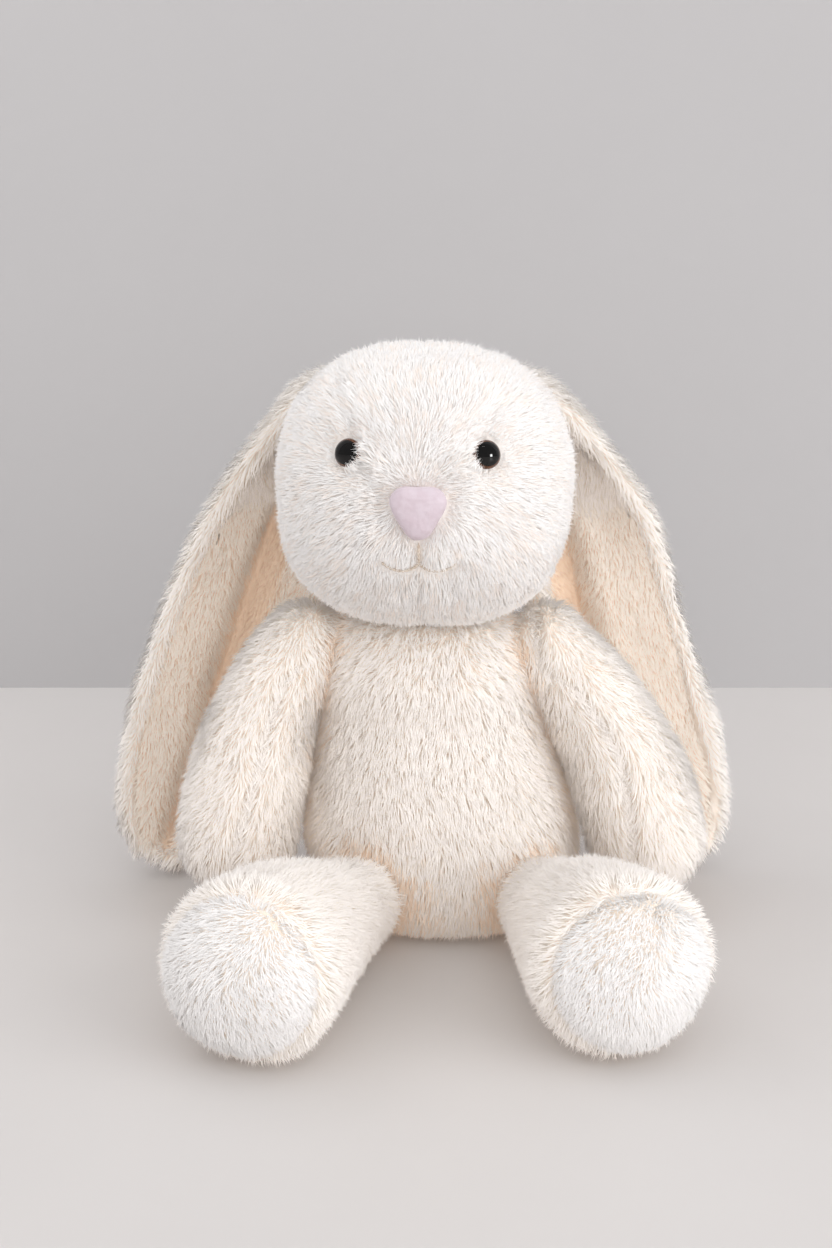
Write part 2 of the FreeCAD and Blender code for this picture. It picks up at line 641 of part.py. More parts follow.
def ear(side, sign):
    """Outer panel at the back, lining at the front, and the joint at the root."""
    joint = ear_joint(sign)
    keep_off = [ball(joint, EAR_ROOT_R + EAR_ROOT_GAP), head_solid(-EAR_CLEAR)]
    half_gap = EAR_LAYER_GAP / 2
    pieces = {}
    for label, offset_a, offset_b in (("outer", EAR_OUTER_T + half_gap, half_gap),
                                      ("lining", -half_gap, -EAR_LINING_T - half_gap)):
        sheet = sheet_solid(ear_grid(offset_a, sign), ear_grid(offset_b, sign))
        sheet = cut_all(sheet, keep_off)
        largest = max(sheet.Solids, key=lambda solid: solid.Volume)
        pieces[f"{side}_ear_{label}_panel"] = to_head(largest)
    inward = V(-joint.x / HEAD_RX ** 2, -joint.y / HEAD_RY_BACK ** 2,
               -joint.z / HEAD_RZ ** 2).normalize()
    ring = thread_ring(joint, inward, (EAR_ROOT_R + EAR_SOCKET_R) / 2, EAR_RING_ANGLE,
                       EAR_THREAD_R)
    pieces[f"{side}_ear_root_bundle"] = to_head(ball(joint, EAR_ROOT_R))
    pieces[f"{side}_ear_seam_thread"] = to_head(ring)
    return pieces


# ---------------------------------------------------------------- build and export
parts = {}
for build in (body, seat_pellets, back_stitches, tail, neck, eyes, head, nose, mouth):
    parts.update(build())
for build in (arm, leg, ear):
    for side, sign in SIDES:
        parts.update(build(side, sign))

os.makedirs("parts", exist_ok=True)
for name, shape in parts.items():
    shape.exportStep(f"parts/{name}.step")
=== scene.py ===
"""Seated plush rabbit: puffed forms covered with a pile of fine strands.

The rabbit sits on z = 0 and faces -y, legs forward; its own right side is at -x.
Shapes are in millimetres and become metres when a mesh is made; lights, camera and
shader distances are in metres.  The face is laid out in the head's own frame, which
is centred in the head and turned with it.
"""
import itertools
import math

import bmesh
import bpy
import numpy as np
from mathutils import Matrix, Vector
from mathutils.kdtree import KDTree


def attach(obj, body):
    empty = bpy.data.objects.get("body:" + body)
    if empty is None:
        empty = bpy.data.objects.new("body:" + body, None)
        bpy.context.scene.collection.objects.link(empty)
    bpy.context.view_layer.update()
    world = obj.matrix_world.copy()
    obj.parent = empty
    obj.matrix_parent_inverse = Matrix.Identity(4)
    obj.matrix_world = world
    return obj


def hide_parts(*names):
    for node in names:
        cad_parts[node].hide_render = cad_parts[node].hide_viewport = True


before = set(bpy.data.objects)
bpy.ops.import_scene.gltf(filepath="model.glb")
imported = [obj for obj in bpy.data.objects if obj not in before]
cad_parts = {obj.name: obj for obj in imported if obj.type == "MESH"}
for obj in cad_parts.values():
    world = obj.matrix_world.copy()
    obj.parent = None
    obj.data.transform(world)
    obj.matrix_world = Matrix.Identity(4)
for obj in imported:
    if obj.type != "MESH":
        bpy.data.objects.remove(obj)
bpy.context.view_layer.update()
MM = 0.001
scene = bpy.context.scene
SIDES = (("right", -1), ("left", 1))        # the rabbit's own side, and the sign of x there

# ------------------------------------------------------------------ dimensions
# torso: height, half width; the lower part bulges a little
TORSO_LOWER = [(0.0, 35.0), (2.0, 40.0), (6.0, 44.5), (12.0, 48.5), (20.0, 51.5),
               (33.0, 53.0), (48.0, 51.5), (63.0, 48.8), (76.0, 45.8), (88.0, 42.4)]
TORSO_UPPER = [(98.0, 42.0), (107.0, 40.5), (114.0, 39.5), (119.0, 38.0), (124.0, 34.5),
               (128.0, 26.0)]
BULGE, BULGE_HEIGHT, BULGE_REACH = 1.6, 38.0, 25.0
TORSO = [(z, r + BULGE * math.exp(-((z - BULGE_HEIGHT) / BULGE_REACH) ** 2))
         for z, r in TORSO_LOWER] + TORSO_UPPER
TORSO_TOP = TORSO[-1][0]
TORSO_INSET = 2.2                           # the form starts this far inside, before puffing
BODY_DEPTH = 0.86                           # depth as a share of width
LEAN_LOW, LEAN_TOP, LEAN_HEIGHT = 5.0, -4.5, 125.0      # x of the torso's axis, low and high
NECK = np.array([LEAN_TOP, 0.0, LEAN_HEIGHT])

HEAD_CENTRE = np.array([-4.5, -4.0, 178.0])
HEAD_YAW = math.radians(-4.0)
HEAD_HALF_WIDTH, HEAD_HALF_HEIGHT, HEAD_FRONT, HEAD_BACK = 54.5, 52.5, 50.0, 46.0
HEAD_STRETCH = np.array([1.048, 1.0, 1.026])
HEAD_INSET = LIMB_INSET = 2.0

# limbs: x, y, z and radius, from the body outwards
ARMS = {
    "right": np.array([(-50.0, -3.0, 115.0, 13.0), (-60.5, -7.0, 98.0, 16.2),
                       (-70.5, -12.0, 77.0, 19.2), (-77.5, -17.0, 56.0, 21.3),
                       (-80.5, -21.0, 39.5, 21.2)]),
    "left": np.array([(43.0, -3.0, 115.0, 13.0), (55.5, -7.0, 98.0, 16.2),
                      (69.5, -12.0, 77.0, 19.2), (80.0, -17.0, 56.0, 21.3),
                      (84.5, -21.0, 40.0, 21.0)])}
LEGS = {
    "right": np.array([(-31.5, -43.0, 21.0, 16.5), (-40.5, -66.0, 24.0, 19.8),
                       (-52.5, -94.0, 29.8, 26.2), (-64.0, -127.0, 33.4, 31.6)]),
    "left": np.array([(41.0, -43.0, 21.0, 16.5), (46.5, -65.0, 24.0, 19.8),
                      (54.5, -91.0, 29.8, 26.2), (62.5, -123.0, 33.4, 31.6)])}
FOOT_FLATNESS = 0.8                         # depth of a limb's rounded end as a share of radius
# the filled arm is fuller than its line: shift in x and added radius at each station,
# and the share of each that either arm takes
ARM_SHIFT = np.array([-1.2, -1.8, -0.6, 0.9, 1.2])
ARM_MORE = np.array([3.4, 2.8, 2.2, 2.0, 2.0])
ARM_SHARE = {"right": (1.0, 1.0), "left": (-0.8, 0.85)}
# front seam of each arm: x, z, from the shoulder to the paw
ARM_SEAM = {
    "right": np.array([(-39.2, 120.7), (-46.1, 114.2), (-59.6, 104.0), (-65.3, 86.5),
                       (-69.2, 72.0), (-74.2, 56.1), (-79.1, 39.5), (-80.0, 15.0)]),
    "left": np.array([(38.7, 115.6), (40.3, 108.9), (46.3, 104.5), (53.2, 101.5),
                      (63.2, 88.6), (71.3, 74.8), (74.0, 59.0), (75.7, 45.4), (77.0, 15.0)])}
SOLE_SEAM = 9.0                             # beyond the leg's last station, along the foot

# ear, in the head's frame, from root to tip, for the right ear (the left is mirrored):
# x, y, z, half width, turn about z (deg), half angle of its curl (deg), left ear's inward shift
EAR = [(-34.5, 15.0, 43.0, 7.5, 60.0, 80.0, 0.0), (-51.0, 24.0, 33.0, 17.0, 50.0, 60.0, 0.0),
       (-65.5, 33.5, 2.0, 25.0, 42.0, 36.0, 0.0), (-77.0, 38.5, -33.0, 28.5, 36.0, 24.0, 2.0),
       (-89.0, 39.5, -73.0, 30.0, 30.0, 20.0, 7.0),
       (-99.5, 39.0, -113.0, 29.0, 25.0, 18.0, 8.5),
       (-107.5, 37.5, -145.0, 22.5, 21.0, 18.0, 6.0),
       (-111.5, 36.0, -160.0, 16.0, 18.0, 20.0, 4.0),
       (-114.5, 35.0, -170.0, 8.5, 16.0, 24.0, 3.0)]
# shift of the ear's fabric: place down the ear, (inward, up)
EAR_INSET = [(0.0, (1.0, -5.0)), (0.125, (5.0, -7.5)), (0.25, (6.0, -3.5)),
             (0.375, (4.0, 0.0)), (0.5, (1.5, 0.0)), (0.625, (-1.0, 0.0)),
             (0.75, (-3.5, 0.0)), (1.0, (-3.0, 0.0))]
EAR_UNTWIST = {-1: 18.0, 1: 32.0}           # degrees the ear turns back below its root
EAR_FOLD = {-1: -0.04, 1: -0.34}            # where across each ear its fold lies
OUTER_ROLL, INNER_ROLL = 3.6, 3.2           # radius of the padded roll on each edge
EAR_OPEN = (0.27, 0.36)                     # the ear is shut above this stretch, open below

# face, in the head's frame
EYE_XS, EYE_Z = (-24.6, 24.6), 19.0
NOSE = np.array([1.0, -53.0, -0.5])
NOSE_DEPTH = 5.4
GUSSET = [(30.0, 52.0), (30.0, 40.0), (21.5, 21.0), (13.0, 4.0), (12.0, -4.0)]     # |x|, z
MOUTH = [[(1.0, -12.0), (1.0, -20.2)],      # x, z of the three stitched lines
         [(1.0, -20.4), (4.0, -22.6), (8.0, -23.2), (11.5, -22.2), (14.5, -20.0)],
         [(1.0, -20.4), (-2.0, -22.4), (-5.5, -23.2), (-9.5, -22.2), (-13.0, -19.6)]]
FACE_AXIS = (HEAD_CENTRE + (0, -60, -30), HEAD_CENTRE + (0, -60, 30))     # for UV maps

TAIL_CENTRE, TAIL_RADIUS = np.array([2.5, 55.0, 31.0]), 14.6

PILE = 0.86              # scales the strand density everywhere but the brows
STRANDS_PER_MESH = 19900
DOWN = np.array([0.0, 0.0, -1.0])


# ------------------------------------------------------------------ number helpers
def spline(table, x):
    """Catmull-Rom value at the number x, from a table of (x, value or values) rows."""
    xs = [row[0] for row in table]
    ys = [np.array(row[1], float) for row in table]
    if x <= xs[0]:
        return ys[0]
    if x >= xs[-1]:
        return ys[-1]
    i = max(k for k in range(len(xs) - 1) if xs[k] <= x)
    x0, x1, y0, y1 = xs[i], xs[i + 1], ys[i], ys[i + 1]
    span = x1 - x0
    slope = (y1 - y0) / span
    slope0 = (y1 - ys[i - 1]) / (x1 - xs[i - 1]) if i > 0 else slope
    slope1 = (ys[i + 2] - y0) / (xs[i + 2] - x0) if i + 2 < len(xs) else slope
    t = (x - x0) / span
    return ((2 * t ** 3 - 3 * t ** 2 + 1) * y0 + (t ** 3 - 2 * t ** 2 + t) * span * slope0
            + (-2 * t ** 3 + 3 * t ** 2) * y1 + (t ** 3 - t ** 2) * span * slope1)


def unit(a):
    return a / np.maximum(np.linalg.norm(a, axis=-1, keepdims=True), 1e-9)


def bell(distance, width):
    return np.exp(-(distance / width) ** 2)


def mound(dx, width_x, dz, width_z):
    return np.exp(-(dx / width_x) ** 2 - (dz / width_z) ** 2)


def smooth_step(x, start, end):
    x = np.clip((x - start) / (end - start), 0, 1)
    return x * x * (3 - 2 * x)


def signed_power(values, power):
    return np.sign(values) * np.abs(values) ** power


def tangent(direction, out):
    """The direction laid flat on the surface whose normals are out."""
    d = np.broadcast_to(direction, out.shape)
    return unit(d - out * (d * out).sum(1, keepdims=True) + 1e-6)


def tilted(start, end, angle):
    """Turned by angle from one direction towards another at right angles to it."""
    return start * np.cos(angle)[:, None] + end * np.sin(angle)[:, None]


def hash01(cell, seed):
    """A random number from 0 to 1 for each row of whole numbers."""
    n = (cell[:, 0] * 374761393 + cell[:, 1] * 668265263 + cell[:, 2] * 2246822519
         + seed * 3266489917) & 0xFFFFFFFF
    n = ((n ^ (n >> 13)) * 1274126177) & 0xFFFFFFFF
    n = ((n ^ (n >> 15)) * 2654435761) & 0xFFFFFFFF
    return ((n ^ (n >> 16)) & 0xFFFFFF) / float(0xFFFFFF)


def value_noise(points, size, seed):
    """Smooth value noise, -1 to 1."""
    scaled = points / size + 1000.0
    cell = np.floor(scaled)
    part = scaled - cell
    part = part * part * (3 - 2 * part)
    cell = cell.astype(np.int64)
    out = np.zeros(len(points))
    for corner in itertools.product((0, 1), repeat=3):
        w = np.where(corner, part, 1 - part)
        out += w[:, 0] * w[:, 1] * w[:, 2] * hash01(cell + corner, seed)
    return out * 2 - 1


def clumps(points, size, seed):
    """The nearest of scattered centres, one per grid cell: place, distance, own random number."""
    scaled = points / size + 1000.0
    base = np.floor(scaled).astype(np.int64)
    nearest = np.full(len(points), 1e9)
    centre = np.zeros((len(points), 3))
    number = np.zeros(len(points))
    for step in itertools.product((-1, 0, 1), repeat=3):
        cell = base + step
        place = cell + np.stack([hash01(cell, seed + k) for k in range(3)], 1)
        distance = np.linalg.norm(place - scaled, axis=1)
        m = distance < nearest
        nearest[m] = distance[m]
        centre[m] = place[m]
        number[m] = hash01(cell[m], seed + 7)
    return (centre - 1000.0) * size, nearest * size, number


# ------------------------------------------------------------------ mesh helpers
def new_mesh(name, points, faces):
    """faces is an (n, corners) array, or a list of tuples of mixed length."""
    mesh = bpy.data.meshes.new(name)
    if isinstance(faces, np.ndarray):
        n, corners = faces.shape
        mesh.vertices.add(len(points))
        mesh.vertices.foreach_set("co", (np.asarray(points) * MM).astype(np.float32).ravel())
        mesh.loops.add(n * corners)
        mesh.loops.foreach_set("vertex_index", faces.astype(np.int32).ravel())
        mesh.polygons.add(n)
        starts = np.arange(0, n * corners, corners, dtype=np.int32)
        mesh.polygons.foreach_set("loop_start", starts)
        mesh.update(calc_edges=True)
    else:
        mesh.from_pydata([tuple(v) for v in np.asarray(points) * MM], [], faces)
        mesh.update()
    shade_smooth(mesh)
    return mesh


def shade_smooth(mesh):
    mesh.polygons.foreach_set("use_smooth", np.ones(len(mesh.polygons), bool))


def new_object(name, data):
    ob = bpy.data.objects.new(name, data)
    scene.collection.objects.link(ob)
    return ob


def places(mesh):
    a = np.empty(len(mesh.vertices) * 3, np.float32)
    mesh.vertices.foreach_get("co", a)
    return a.reshape(-1, 3).astype(float) / MM


def normals(mesh):
    a = np.empty(len(mesh.vertices) * 3, np.float32)
    mesh.vertex_normals.foreach_get("vector", a)
    return a.reshape(-1, 3).astype(float)


def set_places(mesh, points):
    mesh.vertices.foreach_set("co", (points * MM).astype(np.float32).ravel())
    mesh.update()


def evaluated(ob):
    graph = bpy.context.evaluated_depsgraph_get()
    return bpy.data.meshes.new_from_object(ob.evaluated_get(graph))


def subdivide(ob, levels):
    """The subdivided mesh of an object, which is then removed."""
    modifier = ob.modifiers.new("sub", "SUBSURF")
    modifier.levels = levels
    modifier.render_levels = levels
    mesh = evaluated(ob)
    bpy.data.objects.remove(ob)
    return mesh


def grid_quads(index):
    return np.stack([index[:-1, :-1], index[:-1, 1:], index[1:, 1:], index[1:, :-1]],
                    -1).reshape(-1, 4)


def ring_angles(count):
    return np.linspace(0, 2 * math.pi, count, endpoint=False)


def tube(rings):
    """Points and faces of a closed skin over equal rings of points."""
    n = len(rings[0])
    low, last = n * len(rings), n * (len(rings) - 1)
    faces = []
    for i in range(len(rings) - 1):
        for k in range(n):
            a, b = i * n + k, i * n + (k + 1) % n
            faces.append((a, b, b + n, a + n))
    faces += [(low, (k + 1) % n, k) for k in range(n)]
    faces += [(low + 1, last + k, last + (k + 1) % n) for k in range(n)]
    return np.vstack([*rings, np.mean(rings[0], axis=0), np.mean(rings[-1], axis=0)]), faces


def join(parts):
    """One set of points and faces from several."""
    faces, base = [], 0
    for points, part_faces in parts:
        faces += [tuple(v + base for v in face) for face in part_faces]
        base += len(points)
    return np.concatenate([points for points, _ in parts]), faces


def cylinder_uv(mesh, points, axis):
    """UV map: u is the angle round the axis, v the distance along it."""
    low, high = axis
    t = unit(np.array(high, float) - low)
    a = unit(np.cross(t, (0.0, 1.0, 0.3)))
    b = np.cross(t, a)
    offset = points - low
    along = offset @ t
    around = np.arctan2(offset @ b, offset @ a) / (2 * math.pi) + 0.5
    along = (along - along.min()) / (along.max() - along.min())
    vertex = np.empty(len(mesh.loops), np.int32)
    mesh.loops.foreach_get("vertex_index", vertex)
    corners = np.empty(len(mesh.polygons), np.int32)
    mesh.polygons.foreach_get("loop_total", corners)
    u = around[vertex]
    # faces that cross the seam of the map carry on past its edge
    face = np.repeat(np.arange(len(corners)), corners)
    most, least = np.zeros(len(corners)), np.ones(len(corners))
    np.maximum.at(most, face, u)
    np.minimum.at(least, face, u)
    crosses = (most - least > 0.5)[face]
    u = np.where(crosses & (u < 0.5), u + 1.0, u)
    uv = np.stack([u * 0.94 + 0.01, along[vertex] * 0.97 + 0.015], 1)
    layer = mesh.uv_layers.new(name="OFBake")
    layer.data.foreach_set("uv", uv.astype(np.float32).ravel())


def add_piece(name, mesh, body, material, nodes):
    """An object that rides on a body and stands in for CAD nodes."""
    ob = new_object(name, mesh)
    mesh.materials.append(material)
    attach(ob, body)
    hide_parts(*nodes)
    return ob


# ------------------------------------------------------------------ frames and distances
def turn_with_head(points):
    c, s = math.cos(HEAD_YAW), math.sin(HEAD_YAW)
    x, y, z = points[..., 0], points[..., 1], points[..., 2]
    return np.stack([x * c - y * s, x * s + y * c, z], -1)


def from_head(points):
    return turn_with_head(points) + HEAD_CENTRE


def into_head(points):
    c, s = math.cos(HEAD_YAW), math.sin(HEAD_YAW)
    q = points - HEAD_CENTRE
    return np.stack([q[..., 0] * c + q[..., 1] * s, -q[..., 0] * s + q[..., 1] * c, q[..., 2]], -1)


def lean(z):
    """How far the torso's axis has moved in x at height z."""
    return (LEAN_TOP - LEAN_LOW) * np.minimum(1, z / LEAN_HEIGHT)


def torso_gap(points):
    z = np.clip(points[:, 2], 0, TORSO_TOP)
    radius = np.interp(z, [row[0] for row in TORSO], [row[1] for row in TORSO])
    across = points[:, 0] - (LEAN_LOW + lean(z))
    level = np.hypot(across, points[:, 1] / BODY_DEPTH) - radius
    return np.hypot(level, np.maximum(points[:, 2] - TORSO_TOP, 0))


def limb_gap(points, line):
    gap = np.full(len(points), 1e9)
    for start, end in zip(line, line[1:]):
        a, b = start[:3], end[:3]
        k = np.clip(((points - a) @ (b - a)) / ((b - a) @ (b - a)), 0, 1)
        distance = np.linalg.norm(points - a - k[:, None] * (b - a), axis=1)
        gap = np.minimum(gap, distance - start[3] - k * (end[3] - start[3]))
    return gap


def contact_shade(points, limbs, torso=False):
    """Weight of painted shade: 1 where a piece presses on its neighbours, fading to 0 away from
    them.
    """
    gaps = [limb_gap(points, line) for line in limbs]
    if torso:
        gaps.append(torso_gap(points))
    reach = 10.0
    return np.max([np.exp(-np.maximum(gap, 0) / reach) for gap in gaps], axis=0)


# ------------------------------------------------------------------ starting forms
def torso_form():
    heights = np.concatenate([np.linspace(TORSO_INSET, 10, 5), np.linspace(14, 112, 22),
                              np.linspace(115, TORSO_TOP - TORSO_INSET, 6)])
    angles = ring_angles(64)
    power = 2 / 2.15                        # slightly squarer than an ellipse
    rings = []
    for z in heights:
        r = float(spline(TORSO, z)) - TORSO_INSET
        depth = BODY_DEPTH - 0.28 * min(1, max(0, (z - 104) / 20.0))    # thinner shoulders
        x = signed_power(np.cos(angles), power) * r + LEAN_LOW + lean(z)
        y = signed_power(np.sin(angles), power) * r * depth
        rings.append(np.stack([x, y, np.full(64, z)], 1))
    return tube(rings)


def head_form():
    power = 2 / 2.45                        # squarer than an ellipse
    angles = ring_angles(64)
    cos, sin = np.cos(angles), np.sin(angles)
    depth = np.where(sin < 0, HEAD_FRONT, HEAD_BACK) - HEAD_INSET
    rings = []
    for latitude in (-88, -80, -71, -62, -53, -44, -34, -24, -12, 0,
                     12, 24, 34, 44, 53, 62, 71, 80, 88):
        t = math.radians(latitude)
        level = abs(math.cos(t)) ** power
        height = math.copysign(abs(math.sin(t)) ** power, math.sin(t))
        x = signed_power(cos, power) * (HEAD_HALF_WIDTH - HEAD_INSET) * level
        y = signed_power(sin, power) * depth * level
        z = np.full(64, height * (HEAD_HALF_HEIGHT - HEAD_INSET))
        rings.append(np.stack([x, y, z], 1))
    return tube(rings)


def limb_form(line, flatness=1.0):
    """A round limb with domed ends; flatness scales the depth of the far dome."""
    steps = np.linalg.norm(np.diff(line[:, :3], axis=0), axis=1)
    distances = [0.0]
    for step in steps:
        distances.append(distances[-1] + float(step))
    table = list(zip(distances, line))
    total = distances[-1]
    angles = ring_angles(40)[:, None]

    def direction(d):
        ahead = spline(table, min(total, d + 0.5))[:3]
        return unit(ahead - spline(table, max(0.0, d - 0.5))[:3])

    def ring(centre, t, radius):
        u = unit(np.cross(t, (0, 1, 0.35)))
        w = np.cross(t, u)
        return centre + u * (radius * np.cos(angles)) + w * (radius * np.sin(angles))

    first, last = spline(table, 0), spline(table, total)
    first_radius, last_radius = first[3] - LIMB_INSET, last[3] - LIMB_INSET
    first_t, last_t = direction(0), direction(total)
    rings = []
    for degrees in (6, 18, 32, 46, 62, 78):
        a = math.radians(degrees)
        centre = first[:3] - first_t * first_radius * math.cos(a)
        rings.append(ring(centre, first_t, first_radius * math.sin(a)))
    for d in np.linspace(0, total, 18):
        row = spline(table, d)
        rings.append(ring(row[:3], direction(d), row[3] - LIMB_INSET))
    for degrees in (78, 64, 50, 36, 22, 8):
        a = math.radians(degrees)
        centre = last[:3] + last_t * last_radius * flatness * math.cos(a)
        rings.append(ring(centre, last_t, last_radius * math.sin(a)))
    return tube(rings)


def ball_form(centre, radius):
    angles = ring_angles(28)
    rings = []
    for latitude in np.linspace(-85, 85, 15):
        a = math.radians(latitude)
        rings.append(np.stack([centre[0] + radius * math.cos(a) * np.cos(angles),
                               centre[1] + radius * math.cos(a) * np.sin(angles),
                               np.full(28, centre[2] + radius * math.sin(a))], 1))
    return tube(rings)


# ------------------------------------------------------------------ puffing by cloth
PUFF_FRAMES = 20
CLOTH = dict(quality=4, mass=0.25, tension_stiffness=12, compression_stiffness=12,
             bending_stiffness=0.4, use_pressure=True, uniform_pressure_force=4.0)


def puff(forms):
    """forms: name -> (form, voxel size, most a point may move).  Gives subdivided skins."""
    sims = {}
    for name, (form, voxel, cap) in forms.items():
        ob = new_object("sim_" + name, new_mesh("sim_" + name, *form))
        remesh = ob.modifiers.new("remesh", "REMESH")
        remesh.mode = "VOXEL"
        remesh.voxel_size = voxel * MM
        mesh = evaluated(ob)
        ob.modifiers.clear()
        ob.data = mesh
        sims[name] = (ob, places(mesh), cap)
    for ob, _, _ in sims.values():
        cloth = ob.modifiers.new("cloth", "CLOTH")
        for key, value in CLOTH.items():
            setattr(cloth.settings, key, value)
        cloth.settings.effector_weights.gravity = 0.0
        cloth.collision_settings.use_collision = False
        cloth.collision_settings.use_self_collision = False
    for f in range(1, PUFF_FRAMES + 1):
        scene.frame_set(f)
    for ob, start, cap in sims.values():
        move = places(evaluated(ob)) - start
        ob.modifiers.clear()
        distance = np.linalg.norm(move, axis=1, keepdims=True)
        end = start + move * np.minimum(1.0, cap / np.maximum(distance, 1e-6))
        set_places(ob.data, end)
    scene.frame_set(1)
    return {name: subdivide(ob, 2) for name, (ob, _, _) in sims.items()}


# ------------------------------------------------------------------ strand pile
def sample_faces(mesh, density, seed):
    """Evenly spread points on a mesh, density per square mm: places, normals, the generator."""
    mesh.calc_loop_triangles()
    tri = np.empty(len(mesh.loop_triangles) * 3, np.int32)
    mesh.loop_triangles.foreach_get("vertices", tri)
    tri = tri.reshape(-1, 3)
    points, out = places(mesh), normals(mesh)
    a, b, c = points[tri[:, 0]], points[tri[:, 1]], points[tri[:, 2]]
    cover = np.cumsum(np.linalg.norm(np.cross(b - a, c - a), axis=1) / 2)
    count = int(cover[-1] * density)
    rng = np.random.default_rng(seed)
    # stratified along the running area, so that the cover is even
    pick = np.searchsorted(cover, (np.arange(count) + rng.random(count)) / count * cover[-1])
    pick = np.minimum(pick, len(tri) - 1)
    r1, r2 = np.sqrt(rng.random(count)), rng.random(count)
    w = np.stack([1 - r1, r1 * (1 - r2), r1 * r2], 1)[:, :, None]
    return (points[tri[pick]] * w).sum(1), unit((out[tri[pick]] * w).sum(1)), rng


# a strand has a three-sided root (0-2), a three-sided middle (3-5) and a tip (6)
STRAND_FACES = np.array([(0, 2, 1), (0, 1, 4), (0, 4, 3), (1, 2, 5), (1, 5, 4), (2, 0, 3),
                         (2, 3, 5), (3, 4, 6), (4, 5, 6), (5, 3, 6)])
STRAND_V = np.array([0, 0, 0, 0.5, 0.5, 0.5, 1.0])
THIRD_TURN, FIRST_CORNER = 2.0944, 0.5236   # radians, placing the corners of a strand


def strands(name, body, skin, density, length, nap, *, seed, material, keep=None,
            angles=(41, 67), width=0.195, clump=5.5, gather=0.36,
            shade=None, messy=0.17, floor=0.5, strays=0.04):
    """Tapered closed strands over a skin.

    length is in mm, or length(points); nap(points, out) is the direction they lie;
    keep(points, out) masks them; shade(points) paints shade into them by shifting their tone,
    lower being warmer and darker.
    angles are the leans of the lower and upper half in degrees, clump the size of a tuft,
    gather how far tips close up on it, messy the spread of direction, strays the share
    that stands up, and floor the lowest height a strand may reach.
    """
    points, out, rng = sample_faces(skin.data, density, seed)
    if keep is not None:
        kept = keep(points, out)
        points, out = points[kept], out[kept]
    count = len(points)
    lengths = length(points) if callable(length) else np.full(count, float(length))
    # swirls: the nap wanders slowly, and each strand a little
    lie = nap(points, out)
    side = np.cross(out, lie)
    sway = (0.45 * value_noise(points, 22.0, seed + 11)
            + 0.26 * value_noise(points, 8.0, seed + 12) + messy * rng.normal(size=count))
    lie = unit(tilted(lie, side, sway))
    centre, _, number = clumps(points, clump, seed + 3)
    lengths = lengths * (0.80 + 0.24 * rng.random(count) + 0.16 * number)
    low = np.radians(angles[0] + 7 * rng.normal(size=count) + 6 * (number - 0.5))
    high = np.radians(angles[1] + 8 * rng.normal(size=count) + 12 * (number - 0.5))
    stray = rng.random(count) < strays
    low = np.where(stray, low * 0.62, low)
    high = np.where(stray, high * 0.50, high)
    lengths = np.where(stray, lengths * 0.86, lengths)
    half = (lengths * 0.5)[:, None]
    middle = points + tilted(out, lie, low) * half
    tip = middle + tilted(out, lie, high) * half
    # tips gather towards the middle of their tuft
    reach = (lengths * 0.62)[:, None]
    shift = centre + out * reach + lie * reach - tip
    shift -= out * (shift * out).sum(1, keepdims=True)
    pull = gather * (0.55 + 0.45 * number)[:, None] * np.where(stray, 0.3, 1.0)[:, None]
    tip = tip + shift * pull
    middle = middle + shift * pull * 0.42
    if floor is not None:
        for a in (middle, tip):
            a[:, 2] = np.maximum(a[:, 2], floor)
    root = points - out * 0.7
    # flattened cross-sections with the broad face outwards; shading mostly follows the skin
    axis = unit(middle - root)
    u = unit(np.cross(axis, out + 0.01 * side))
    v = np.cross(axis, u)
    radius = (width * 1.06 * (0.8 + 0.4 * rng.random(count)))[:, None]
    corners = np.empty((count, 7, 3))
    shading = np.empty((count, 7, 3))
    for k in range(3):
        angle = THIRD_TURN * k - FIRST_CORNER
        spoke = u * math.cos(angle) + v * (0.6 * math.sin(angle))
        corners[:, k] = root + spoke * radius
        corners[:, 3 + k] = middle + spoke * (radius * 0.85)
        shading[:, k] = unit(out * 0.9 + spoke * 0.2)
        shading[:, 3 + k] = unit(out * 0.9 + spoke * 0.25)
    corners[:, 6] = tip
    shading[:, 6] = unit(out * 0.9 + unit(tip - middle) * 0.2)
    tone = np.clip(0.6 * rng.random(count) + 0.4 * number, 0, 1)
    # painted shade: a lower tone makes a strand warmer and darker
    if shade is not None:
        tone = np.clip(tone + shade(points), 0, 1)
    order = np.argsort(rng.random(count))
    for part, start in enumerate(range(0, count, STRANDS_PER_MESH)):
        chosen = order[start:start + STRANDS_PER_MESH]
        mesh = strand_mesh(f"{name}_{part}", corners[chosen], shading[chosen], tone[chosen])
        ob = new_object(f"{name}_{part}", mesh)
        mesh.materials.append(material)
        ob.visible_shadow = part % 3 == 1   # light filters through a pale pile
        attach(ob, body)


def strand_mesh(name, corners, shading, tone):
    """One mesh of many strands; in its UV map u is the tone and v runs along the strand."""
    count = len(corners)
    faces = (STRAND_FACES[None] + (np.arange(count) * 7)[:, None, None]).reshape(-1, 3)
    mesh = new_mesh(name, corners.reshape(-1, 3), faces)
    attribute = mesh.attributes.new("custom_normal", "FLOAT_VECTOR", "POINT")
    attribute.data.foreach_set("vector", shading.reshape(-1, 3).astype(np.float32).ravel())
    u = np.repeat(tone, 7) * 0.96 + 0.02
    v = np.tile(STRAND_V, count) * 0.96 + 0.02
    vertex = faces.ravel()
    layer = mesh.uv_layers.new(name="OFBake")
    uv = np.stack([u[vertex], v[vertex]], 1)
    layer.data.foreach_set("uv", uv.astype(np.float32).ravel())
    return mesh


# ------------------------------------------------------------------ materials
def srgb(r, g, b):
    linear = [c / 12.92 if c <= 0.04045 else ((c + 0.055) / 1.055) ** 2.4 for c in (r, g, b)]
    return (*linear, 1.0)


